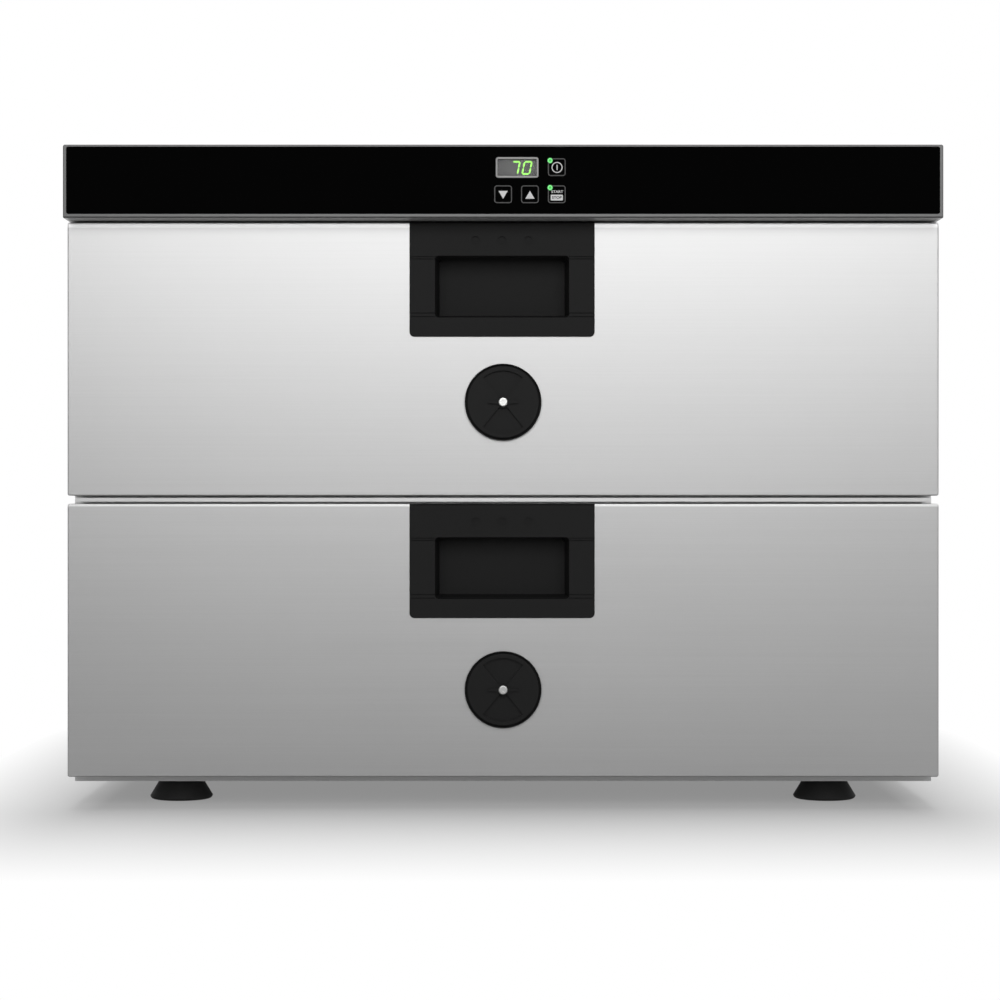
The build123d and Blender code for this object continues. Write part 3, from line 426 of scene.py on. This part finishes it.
@dataclass(frozen=True)
class Window(Finish):
    """Clear display window."""

    bending: float = 1.12  # index of refraction, low for so thin a pane
    wipe_size: float = 3.0
    swings: tuple[float, float] = (0.02, 0.01)  # of colour and of roughness

    def dress(self, sheet: NodeSheet, shader: bpy.types.Node) -> None:
        """Make the shader transmit, with faint wipe marks.

        Args:
            sheet: the material's nodes.
            shader: its Principled shader.
        """
        shader.inputs["Transmission Weight"].default_value = 1.0
        shader.inputs["IOR"].default_value = self.bending
        grit = sheet.add("ShaderNodeGroup", node_tree=bpy.data.node_groups["moulded_grit"])
        grit.inputs["Size"].default_value = self.wipe_size
        self.vary(sheet, shader, grit.outputs["Cloud"], *self.swings)


@dataclass(frozen=True)
class DotMesh(Finish):
    """Display face seen through a fine dotted filter."""

    pitch: float = 0.7 * MM
    specular: float = 0.2
    swings: tuple[float, float] = (0.3, 0.05)  # of colour and of roughness

    def dress(self, sheet: NodeSheet, shader: bpy.types.Node) -> None:
        """Darken a regular grid of dots.

        Args:
            sheet: the material's nodes.
            shader: its Principled shader.
        """
        place = sheet.add("ShaderNodeTexCoord").outputs["Object"]
        grid = sheet.add("ShaderNodeSeparateXYZ", {0: place})
        waves = []
        for axis in ("X", "Z"):
            turned = sheet.math("MULTIPLY", grid.outputs[axis], 2 * math.pi / self.pitch)
            waves.append(sheet.math("SINE", turned))
        swing = sheet.math("MULTIPLY", sheet.math("MULTIPLY", waves[0], waves[1]), 0.5)
        dots = sheet.math("ADD", swing, 0.5)
        self.vary(sheet, shader, dots, *self.swings)
        shader.inputs["Specular IOR Level"].default_value = self.specular


@dataclass(frozen=True)
class Fibrous(Finish):
    """Pressed mineral fibre."""

    stretch: tuple[float, float, float] = (120.0, 120.0, 600.0)
    detail: float = 6.0
    depth: float = 0.6 * MM
    swings: tuple[float, float] = (0.35, 0.05)  # of colour and of roughness

    def dress(self, sheet: NodeSheet, shader: bpy.types.Node) -> None:
        """Add the fibres.

        Args:
            sheet: the material's nodes.
            shader: its Principled shader.
        """
        place = sheet.add("ShaderNodeTexCoord").outputs["Object"]
        stretched = sheet.add("ShaderNodeMapping", {0: place, 3: self.stretch}).outputs[0]
        noise = {"Vector": stretched, "Scale": 1.0, "Detail": self.detail}
        fibre = sheet.add("ShaderNodeTexNoise", noise).outputs["Fac"]
        self.vary(sheet, shader, fibre, *self.swings)
        self.bump(sheet, shader, fibre, self.depth)


FINISHES: tuple[Finish, ...] = (
    BrushedSteel("outer_steel", (0.54, 0.54, 0.54), 0.34),
    BrushedSteel("inner_steel", (0.42, 0.42, 0.42), 0.32, streak=0.04),
    BrushedSteel("pan_steel", (0.5, 0.5, 0.5), 0.24, streak=0.05, fineness=0.5),
    BrushedSteel("rail_steel", (0.4, 0.41, 0.42), 0.3, streak=0.08, fineness=0.7),
    # paler copy of the outer steel: painted light on the frame rails seen deep in the gaps between the
    # drawers
    BrushedSteel("frame_steel_painted_light", (0.67, 0.67, 0.67), 0.34),
    # the hood's front border carries painted shade
    PaintedHemShadeSteel("hood_steel_painted_shade", (0.54, 0.54, 0.54), 0.34, node="control_hood"),
    # the drawer fronts carry a painted highlight along their top edges
    PaintedHighlightSteel("upper_front_steel_painted_highlight", (0.56, 0.56, 0.56), 0.36, node="upper_front_skin"),
    PaintedHighlightSteel(
        "lower_front_steel_painted_highlight",
        (0.57, 0.57, 0.57),
        0.36,
        node="lower_front_skin",
        highlight_start=2.6 * MM,
        highlight_end=1.6 * MM,
        highlight_colour=(0.82, 0.82, 0.82),
    ),
    BrushedSteel("rivet_steel", (0.75, 0.75, 0.74), 0.3, streak=0.02),
    BrushedSteel("fastener_steel", (0.45, 0.45, 0.45), 0.28, streak=0.03),
    BrushedSteel("probe_steel", (0.5, 0.5, 0.5), 0.22, streak=0.03),
    Moulded("handle_plastic", (0.0135, 0.0135, 0.0135), 0.55, specular=0.16),
    Moulded("vent_plastic", (0.0135, 0.0135, 0.0135), 0.5, specular=0.16),
    Moulded("gland_plastic", (0.02, 0.02, 0.02), 0.5),
    Polished("fascia_gloss", (0.0003, 0.0003, 0.0003), 0.1, specular=0.006),
    Polished("key_gloss", (0.0003, 0.0003, 0.0003), 0.14, specular=0.006),
    Moulded("bezel_grey", (0.5, 0.49, 0.49), 0.45, grit_depth=0.008 * MM),
    Window("display_lens", (0.92, 0.92, 0.92), 0.05),
    DotMesh("display_module", (0.12, 0.12, 0.12), 0.5),
    Glow("indicator_green", (0.06, 0.48, 0.08), 0.4, strength=0.8),
    Glow("indicator_ring", (0.2, 0.75, 0.24), 0.4, strength=0.75),
    Moulded("circuit_board", (0.02, 0.14, 0.05), 0.35, grit_size=1.5),
    Moulded("component_black", (0.02, 0.02, 0.022), 0.45),
    Moulded("terminal_plastic", (0.7, 0.67, 0.58), 0.5),
    Moulded("transformer_iron", (0.09, 0.08, 0.07), 0.5, specular=0.4),
    Moulded("wire_insulation", (0.4, 0.05, 0.03), 0.45),
    Fibrous("mineral_wool", (0.55, 0.45, 0.2), 0.9),
    Moulded("heater_silicone", (0.45, 0.1, 0.03), 0.55, grit_size=1.0),
    Moulded("gasket_rubber", (0.02, 0.02, 0.02), 0.7, grit_size=0.6),
    Moulded("foot_rubber", (0.036, 0.036, 0.036), 0.55, grit_size=0.6, specular=0.4),
    Moulded("print_grey", (0.13, 0.13, 0.13), 0.6, grit_depth=0.0, specular=0.1),
    Moulded("print_white", (0.95, 0.95, 0.95), 0.6, grit_depth=0.0, specular=0.1),
    Moulded("print_black", (0.002, 0.002, 0.002), 0.6, grit_depth=0.0, specular=0.1),
    Glow("segment_green", (0.3, 0.76, 0.13), 0.4, strength=0.95),
)

SPECIAL_FINISHES = {  # nodes unlike the rest of their slot
    # front frame: painted light, a paler steel
    "front_frame": "frame_steel_painted_light",
    # hood: painted shade on its front border
    "control_hood": "hood_steel_painted_shade",
    # drawer fronts: painted highlight on their top edges
    "upper_front_skin": "upper_front_steel_painted_highlight",
    "lower_front_skin": "lower_front_steel_painted_highlight",
}


class Finishes:
    """All finishes as materials, made once and handed out by name."""

    def __init__(self) -> None:
        """Build the shared groups first, then each material."""
        grain_group()
        grit_group()
        self.made = {finish.name: finish.build() for finish in FINISHES}

    def dress_frame(self) -> None:
        """Give every CAD node the finish of its material slot."""
        slots = {row["node"]: row["material_slot"] for row in frame["record"]["subparts"]}
        for node, piece in frame["nodes"].items():
            piece.data.materials.clear()
            finish = SPECIAL_FINISHES.get(node, slots[node])
            piece.data.materials.append(self.made[finish])
            LOG.info("dressed %s as %s", node, finish)

    def give(self, piece: bpy.types.Object, finish: str, slot: str) -> None:
        """Dress a new piece.

        Args:
            piece: the piece.
            finish: name of its finish.
            slot: the record's material slot that it stands under; not used.
        """
        piece.data.materials.append(self.made[finish])


def make_piece(name: str, mesh: bmesh.types.BMesh, body: str) -> bpy.types.Object:
    """Turn a bmesh into a piece that rides on a body.

    Args:
        name: the piece's name.
        mesh: its mesh in metres, in the shared frame; it is freed here.
        body: the body that it moves with.

    Returns:
        The new object.
    """
    bmesh.ops.remove_doubles(mesh, verts=mesh.verts, dist=WELD)
    bmesh.ops.recalc_face_normals(mesh, faces=mesh.faces)
    data = bpy.data.meshes.new(name)
    mesh.to_mesh(data)
    mesh.free()
    piece = bpy.data.objects.new(name, data)
    bpy.context.scene.collection.objects.link(piece)
    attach(piece, body)
    LOG.info("made %s on %s", name, body)
    return piece


def print_plate(
    mesh: bmesh.types.BMesh, outline: list[tuple[float, float]], y_face: float, thickness: float
) -> None:
    """Add a thin plate with a given outline, seen from the front.

    Args:
        mesh: the bmesh that it joins.
        outline: corner points as X and Z, in metres.
        y_face: Y of the surface that carries it.
        thickness: how far it stands forward of that surface.
    """
    corners = [mesh.verts.new((x, y_face, z)) for x, z in outline]
    face = mesh.faces.new(corners)
    raised = bmesh.ops.extrude_face_region(mesh, geom=[face])
    moved = [item for item in raised["geom"] if isinstance(item, bmesh.types.BMVert)]
    bmesh.ops.translate(mesh, verts=moved, vec=(0, -thickness, 0))


def rounded_outline(
    centre: tuple[float, float], size: tuple[float, float], radius: float, steps: int = 6
) -> list[tuple[float, float]]:
    """Corner points of a rectangle with round corners.

    Args:
        centre: its middle, X and Z.
        size: its width and height.
        radius: corner radius.
        steps: points on each quarter circle.

    Returns:
        The points, going round once.
    """
    points = []
    for turn, (side_x, side_z) in enumerate(((1, 1), (-1, 1), (-1, -1), (1, -1))):
        middle = (
            centre[0] + side_x * (size[0] / 2 - radius),
            centre[1] + side_z * (size[1] / 2 - radius),
        )
        for step in range(steps + 1):
            angle = math.radians(90 * turn + 90 * step / steps)
            points.append((middle[0] + radius * math.cos(angle), middle[1] + radius * math.sin(angle)))
    return points


def frame_plate(
    mesh: bmesh.types.BMesh,
    outer: list[tuple[float, float]],
    inner: list[tuple[float, float]],
    y_face: float,
    thickness: float,
) -> None:
    """Add a thin closed ring between two outlines with as many points.

    Args:
        mesh: the bmesh that it joins.
        outer: outer outline.
        inner: inner outline.
        y_face: Y of the surface that carries it.
        thickness: how far it stands forward.
    """
    rings = [
        [mesh.verts.new((x, y, z)) for x, z in outline]
        for outline in (outer, inner)
        for y in (y_face, y_face - thickness)
    ]
    outer_back, outer_front, inner_back, inner_front = rings
    count = len(outer)
    for index in range(count):
        after = (index + 1) % count
        for first, second in (
            (outer_front, inner_front),
            (inner_front, inner_back),
            (inner_back, outer_back),
            (outer_back, outer_front),
        ):
            mesh.faces.new((first[index], first[after], second[after], second[index]))


class KeySign(Enum):
    """What is printed on a key."""

    DOWN = "down_key"
    UP = "up_key"
    START_STOP = "start_stop_key"
    ON_OFF = "on_off_key"


@dataclass
class Keypad:
    """Printed outlines and signs of the four keys."""

    finishes: Finishes
    line: float = 0.75 * MM
    corner: float = 2.0 * MM
    edge_gap: float = 0.35 * MM
    thickness: float = 0.05 * MM
    arrow_width: float = 6.9 * MM
    arrow_height: float = 5.8 * MM
    sign_drop: float = 0.4 * MM
    key_size: float = 13.8 * MM
    ring_radius: float = 4.05 * MM
    ring_line: float = 0.7 * MM
    ring_shift: float = 0.2 * MM
    bar_height: float = 4.0 * MM
    bar_width: float = 0.8 * MM
    bar_width_to_corner: float = 2.01  # just over 2, so that the bar's ends keep a short flat
    stop_box: tuple[float, float] = (9.0 * MM, 4.3 * MM)
    stop_drop: float = 2.45 * MM
    start_place: tuple[float, float] = (0.3 * MM, 1.8 * MM)  # word's middle from the key's
    stop_corner: float = 0.6 * MM
    ring_steps: int = 12
    letter_height: float = 2.6 * MM
    letter_stretch: float = 1.15
    letter_weight: float = 0.02  # of the letter height, added all round
    y_face: float = field(init=False, default=0.0)  # of the key being printed
    centre: tuple[float, float] = field(init=False, default=(0.0, 0.0))  # of that key, X and Z

    def build(self) -> None:
        """Print every key."""
        for sign in KeySign:
            low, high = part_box(sign.value)
            self.y_face = low.y
            self.centre = ((low.x + high.x) / 2, (low.z + high.z) / 2)
            self.outline(sign)
            self.sign(sign)

    def print_on(self, name: str, mesh: bmesh.types.BMesh, sign: KeySign, finish: str) -> None:
        """Finish one print and let it ride on its key.

        Args:
            name: name of the print.
            mesh: its shape.
            sign: the key that it rides on.
            finish: its finish.
        """
        piece = make_piece(name, mesh, sign.value)
        self.finishes.give(piece, finish, "key_gloss")

    def outline(self, sign: KeySign) -> None:
        """Print the rounded square round a key.

        Args:
            sign: the key.
        """
        mesh = bmesh.new()
        outer_size = self.key_size - 2 * self.edge_gap
        inner_size = outer_size - 2 * self.line
        outer = rounded_outline(self.centre, (outer_size, outer_size), self.corner)
        inner = rounded_outline(self.centre, (inner_size, inner_size), self.corner - self.line)
        frame_plate(mesh, outer, inner, self.y_face, self.thickness)
        self.print_on(f"{sign.value}_outline", mesh, sign, "print_grey")

    def sign(self, sign: KeySign) -> None:
        """Print the sign of a key.

        Args:
            sign: the key.
        """
        x, z = self.centre
        mesh = bmesh.new()
        if sign in (KeySign.DOWN, KeySign.UP):
            tip = self.arrow_height / 2 * (1 if sign is KeySign.UP else -1)
            half = self.arrow_width / 2
            z -= self.sign_drop
            corners = [(x - half, z - tip), (x + half, z - tip), (x, z + tip)]
            print_plate(mesh, corners, self.y_face, self.thickness)
        elif sign is KeySign.ON_OFF:
            x += self.ring_shift
            z -= self.ring_shift
            outer = rounded_outline((x, z), (2 * self.ring_radius,) * 2, self.ring_radius, self.ring_steps)
            hole = self.ring_radius - self.ring_line
            inner = rounded_outline((x, z), (2 * hole,) * 2, hole, self.ring_steps)
            frame_plate(mesh, outer, inner, self.y_face, self.thickness)
            bar_corner = self.bar_width / self.bar_width_to_corner
            bar = rounded_outline((x, z), (self.bar_width, self.bar_height), bar_corner)
            print_plate(mesh, bar, self.y_face, self.thickness)
        else:
            box = rounded_outline((x, z - self.stop_drop), self.stop_box, self.stop_corner)
            print_plate(mesh, box, self.y_face, self.thickness)
        self.print_on(f"{sign.value}_sign", mesh, sign, "print_white")
        if sign is KeySign.START_STOP:
            self.word("START", (x + self.start_place[0], z + self.start_place[1]), 0, sign, "print_white")
            self.word("STOP", (x, z - self.stop_drop), self.thickness, sign, "print_black")

    def word(
        self,
        text: str,
        middle: tuple[float, float],
        lift: float,
        sign: KeySign,
        finish: str,
    ) -> None:
        """Print one word.

        Args:
            text: the word.
            middle: its middle, X and Z.
            lift: how far its ground stands forward of the key.
            sign: the key that it rides on.
            finish: its finish.
        """
        half_depth = self.thickness / 4
        curve = bpy.data.curves.new(f"{text.lower()}_word", "FONT")
        curve.body = text
        curve.size = self.letter_height
        curve.offset = self.letter_weight * self.letter_height
        curve.align_x = "CENTER"
        curve.align_y = "CENTER"
        curve.extrude = half_depth
        carrier = bpy.data.objects.new(curve.name, curve)
        bpy.context.scene.collection.objects.link(carrier)
        data = bpy.data.meshes.new_from_object(carrier)
        bpy.data.objects.remove(carrier)
        turn = Matrix.Rotation(math.radians(90), 4, "X")
        place = Matrix.Translation((middle[0], self.y_face - lift - half_depth, middle[1]))
        stretch = Matrix.Diagonal((self.letter_stretch, 1.0, 1.0, 1.0))
        data.transform(place @ turn @ stretch)
        piece = bpy.data.objects.new(f"{text.lower()}_word", data)
        bpy.context.scene.collection.objects.link(piece)
        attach(piece, sign.value)
        self.finishes.give(piece, finish, "key_gloss")
        LOG.info("printed %s", text)


@dataclass
class LightCaps:
    """Lit caps of the two indicator lights, paler round the rim."""

    finishes: Finishes
    radius: float = 1.85 * MM
    core_radius: float = 0.95 * MM
    lift: float = 0.07 * MM  # clear of the key's printed outline
    thickness: float = 0.1 * MM
    steps: int = 10

    def build(self) -> None:
        """Set a ring and a core in front of each light."""
        low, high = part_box("indicator_lights")
        y_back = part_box(KeySign.ON_OFF.value)[0].y - self.lift
        middle_x = (low.x + high.x) / 2
        inset = (high.x - low.x) / 2
        ring = bmesh.new()
        core = bmesh.new()
        for middle_z in (low.z + inset, high.z - inset):
            outer, inner = (
                rounded_outline((middle_x, middle_z), (2 * radius,) * 2, radius, self.steps)
                for radius in (self.radius, self.core_radius)
            )
            frame_plate(ring, outer, inner, y_back, self.thickness)
            print_plate(core, inner, y_back, self.thickness)
        for name, mesh, finish in (
            ("light_cap_rings", ring, "indicator_ring"),
            ("light_cap_cores", core, "indicator_green"),
        ):
            self.finishes.give(make_piece(name, mesh, "cabinet"), finish, "indicator_green")


@dataclass
class Readout:
    """Lit seven-segment digits of the display."""

    finishes: Finishes
    shown: str = "70"
    height: float = 10.2 * MM
    width: float = 6.5 * MM
    stroke: float = 1.2 * MM
    slant: float = math.tan(math.radians(12))
    pitch: float = 8.8 * MM
    right_edge: float = 5.2 * MM  # from the bezel's right edge to the last digit
    thickness: float = 0.12 * MM
    gap: float = 0.12 * MM

    def segments(self, digit: str) -> list[str]:
        """Pick the lit segments of one digit.

        Args:
            digit: the digit shown.

        Returns:
            Their letters.
        """
        lit = {"7": "abc", "0": "abcdef"}
        return list(lit[digit])

    def outline(self, name: str) -> list[tuple[float, float]]:
        """Outline of a segment about the digit's middle, before the slant.

        Args:
            name: the segment's letter, a to f.

        Returns:
            Its corners.
        """
        half_w = self.width / 2 - self.stroke / 2
        half_h = self.height / 2 - self.stroke / 2
        ends = {
            "a": ((-half_w, half_h), (half_w, half_h)),
            "b": ((half_w, half_h), (half_w, 0)),
            "c": ((half_w, 0), (half_w, -half_h)),
            "d": ((-half_w, -half_h), (half_w, -half_h)),
            "e": ((-half_w, 0), (-half_w, -half_h)),
            "f": ((-half_w, half_h), (-half_w, 0)),
        }
        start, end = (Vector(point) for point in ends[name])
        along = (end - start).normalized()
        side = Vector((-along.y, along.x)) * self.stroke / 2
        first = start + along * self.gap
        last = end - along * self.gap
        tip = self.stroke / 2
        corners = [
            first,
            first + along * tip + side,
            last - along * tip + side,
            last,
            last - along * tip - side,
            first + along * tip - side,
        ]
        return [(corner.x, corner.y) for corner in corners]

    def build(self) -> None:
        """Make the digits on the display module's face."""
        low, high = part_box("display_module")
        bezel_low, bezel_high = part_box("display_bezel")
        middle_z = (bezel_low.z + bezel_high.z) / 2
        mesh = bmesh.new()
        for place, digit in enumerate(reversed(self.shown)):
            middle_x = bezel_high.x - self.right_edge - self.width / 2 - place * self.pitch
            for name in self.segments(digit):
                points = [
                    (middle_x + x + z * self.slant, middle_z + z) for x, z in self.outline(name)
                ]
                print_plate(mesh, points, low.y, self.thickness)
        piece = make_piece("display_digits", mesh, "cabinet")
        self.finishes.give(piece, "segment_green", "display_module")


def seen_ray(sheet: NodeSheet, mirrored: bpy.types.NodeSocket) -> bpy.types.NodeSocket:
    """Mask of the rays that look at a backdrop: the camera's own, passed through and mirrored.

    Args:
        sheet: nodes of the backdrop's material or world.
        mirrored: how much of the backdrop a mirrored ray sees, from 0 to 1.

    Returns:
        The mask's socket.
    """
    rays = sheet.add("ShaderNodeLightPath")
    direct = sheet.math("MAXIMUM", rays.outputs["Is Camera Ray"], rays.outputs["Is Transmission Ray"])
    return sheet.math("MAXIMUM", direct, sheet.math("MULTIPLY", rays.outputs["Is Glossy Ray"], mirrored))


@dataclass(frozen=True)
class SoftBox:
    """One rectangular soft lamp: where it hangs, the point it faces, its edges and its power."""

    name: str
    place: tuple[float, float, float]
    aim: tuple[float, float, float]
    size: tuple[float, float]
    watts: float

    def hang(self) -> None:
        """Add the lamp to the scene."""
        data = bpy.data.lights.new(self.name, "AREA")
        data.shape = "RECTANGLE"
        data.size, data.size_y = self.size
        data.energy = self.watts
        lamp = bpy.data.objects.new(self.name, data)
        lamp.location = self.place
        direction = Vector(self.aim) - Vector(self.place)
        lamp.rotation_euler = direction.to_track_quat("-Z", "Y").to_euler()
        bpy.context.scene.collection.objects.link(lamp)


@dataclass
class Studio:
    """Floor, lamps and camera."""

    horizon: float = 0.230
    distance: float = 1.9
    side_step: float = -0.0023
    lens: float = 91.7
    film_width: float = 36.0
    floor_half: float = 30.0
    floor_grey: float = 0.42
    floor_lift: float = 0.21
    shadow_side: tuple[float, float] = (0.30, 2.5)  # where the floor starts to pale, and how fast
    shadow_front: tuple[float, float] = (0.27, 1.0)
    shadow_reach: float = -0.02  # where the white share starts
    white_reach: float = 0.37  # where it is whole
    mirrored_floor: tuple[float, float] = (-0.5, 0.5)  # Y where its mirror image starts and is whole
    mirrored_room: tuple[float, float] = (-0.6, 0.6)  # the same for the world, by the way's Y
    fill_light: float = 0.25  # plain light from all round
    room_light: float = 0.2  # what metal shows of the room behind the camera
    lamps: tuple[SoftBox, ...] = (
        SoftBox("overhead_softbox", (0.0, 0.35, 2.1), (0.0, 0.2, 0.0), (1.8, 1.2), 30.0),
        SoftBox("front_softbox", (0.1, -3.3, 1.4), (0.0, -0.3, 0.35), (2.6, 1.8), 39.5),
    )

    def floor(self) -> None:
        """Lay a pale floor that keeps the shadow and shows white to the camera."""
        mesh = bmesh.new()
        bmesh.ops.create_grid(mesh, x_segments=2, y_segments=2, size=self.floor_half)
        data = bpy.data.meshes.new("floor")
        mesh.to_mesh(data)
        mesh.free()
        floor = bpy.data.objects.new("floor", data)
        bpy.context.scene.collection.objects.link(floor)
        material = bpy.data.materials.new("floor_white")
        material.use_nodes = True
        material.node_tree.nodes.clear()
        sheet = NodeSheet(material.node_tree)
        place = sheet.add("ShaderNodeSeparateXYZ", {0: sheet.add("ShaderNodeTexCoord").outputs["Object"]})
        beyond = []
        for axis, (edge, steepness) in {"X": self.shadow_side, "Y": self.shadow_front}.items():
            past = sheet.math("SUBTRACT", sheet.math("ABSOLUTE", place.outputs[axis]), edge)
            past = sheet.math("MULTIPLY", sheet.math("MAXIMUM", past, 0.0), steepness)
            beyond.append(sheet.math("POWER", past, 2.0))
        reach = sheet.math("SQRT", sheet.math("ADD", *beyond))
        far = sheet.add(
            "ShaderNodeMapRange",
            {0: reach, 1: self.shadow_reach, 2: self.white_reach},
        )
        start, whole = self.mirrored_floor
        behind = sheet.add("ShaderNodeMapRange", {0: place.outputs["Y"], 1: start, 2: whole})
        seen = seen_ray(sheet, behind.outputs[0])
        matt = sheet.add("ShaderNodeBsdfDiffuse", {"Color": (self.floor_grey,) * 3 + (1.0,)})
        white = {"Color": (1.0, 1.0, 1.0, 1.0)}
        lift = sheet.math("MULTIPLY", seen, self.floor_lift)
        glow = sheet.add("ShaderNodeEmission", white | {"Strength": lift})
        near = sheet.add("ShaderNodeAddShader", {0: matt.outputs[0], 1: glow.outputs[0]})
        full = sheet.add("ShaderNodeEmission", white | {"Strength": 1.0})
        share = sheet.math("MULTIPLY", seen, far.outputs[0])
        mixed = sheet.add("ShaderNodeMixShader", {0: share, 1: near.outputs[0], 2: full.outputs[0]})
        sheet.add("ShaderNodeOutputMaterial", {"Surface": mixed.outputs[0]})
        floor.data.materials.append(material)

    def world(self) -> None:
        """Surround the object with plain light, and show white behind it."""
        world = bpy.data.worlds.new("studio")
        bpy.context.scene.world = world
        world.use_nodes = True
        world.node_tree.nodes.clear()
        sheet = NodeSheet(world.node_tree)
        way = sheet.add("ShaderNodeSeparateXYZ", {0: sheet.add("ShaderNodeTexCoord").outputs["Generated"]})
        start, whole = self.mirrored_room
        room = sheet.add(
            "ShaderNodeMapRange",
            {0: way.outputs["Y"], 1: start, 2: whole, 3: self.room_light, 4: 1.0},
            interpolation_type="SMOOTHSTEP",
        )
        strength = sheet.math("MAXIMUM", seen_ray(sheet, room.outputs[0]), self.fill_light)
        light = sheet.add("ShaderNodeBackground", {"Color": (1.0, 1.0, 1.0, 1.0), "Strength": strength})
        sheet.add("ShaderNodeOutputWorld", {"Surface": light.outputs[0]})

    def camera(self) -> None:
        """Set the camera level with the cabinet's middle, straight in front."""
        y_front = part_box("upper_front_skin")[0].y
        data = bpy.data.cameras.new("camera")
        data.sensor_width = self.film_width
        data.lens = self.lens
        camera = bpy.data.objects.new("camera", data)
        camera.location = (self.side_step, y_front - self.distance, self.horizon)
        camera.rotation_euler = (math.radians(90), 0, 0)
        bpy.context.scene.collection.objects.link(camera)
        bpy.context.scene.camera = camera

    def build(self) -> None:
        """Set up the whole studio."""
        scene = bpy.context.scene
        scene.view_settings.view_transform = "Standard"
        self.floor()
        self.world()
        for lamp in self.lamps:
            lamp.hang()
        self.camera()
        LOG.info("studio ready")


def main() -> None:
    """Build the looks in order."""
    logging.basicConfig(level=logging.INFO, format="%(name)s: %(message)s")
    Studio().build()
    finishes = Finishes()
    finishes.dress_frame()
    Keypad(finishes).build()
    LightCaps(finishes).build()
    Readout(finishes).build()


if __name__ == "__main__":
    main()
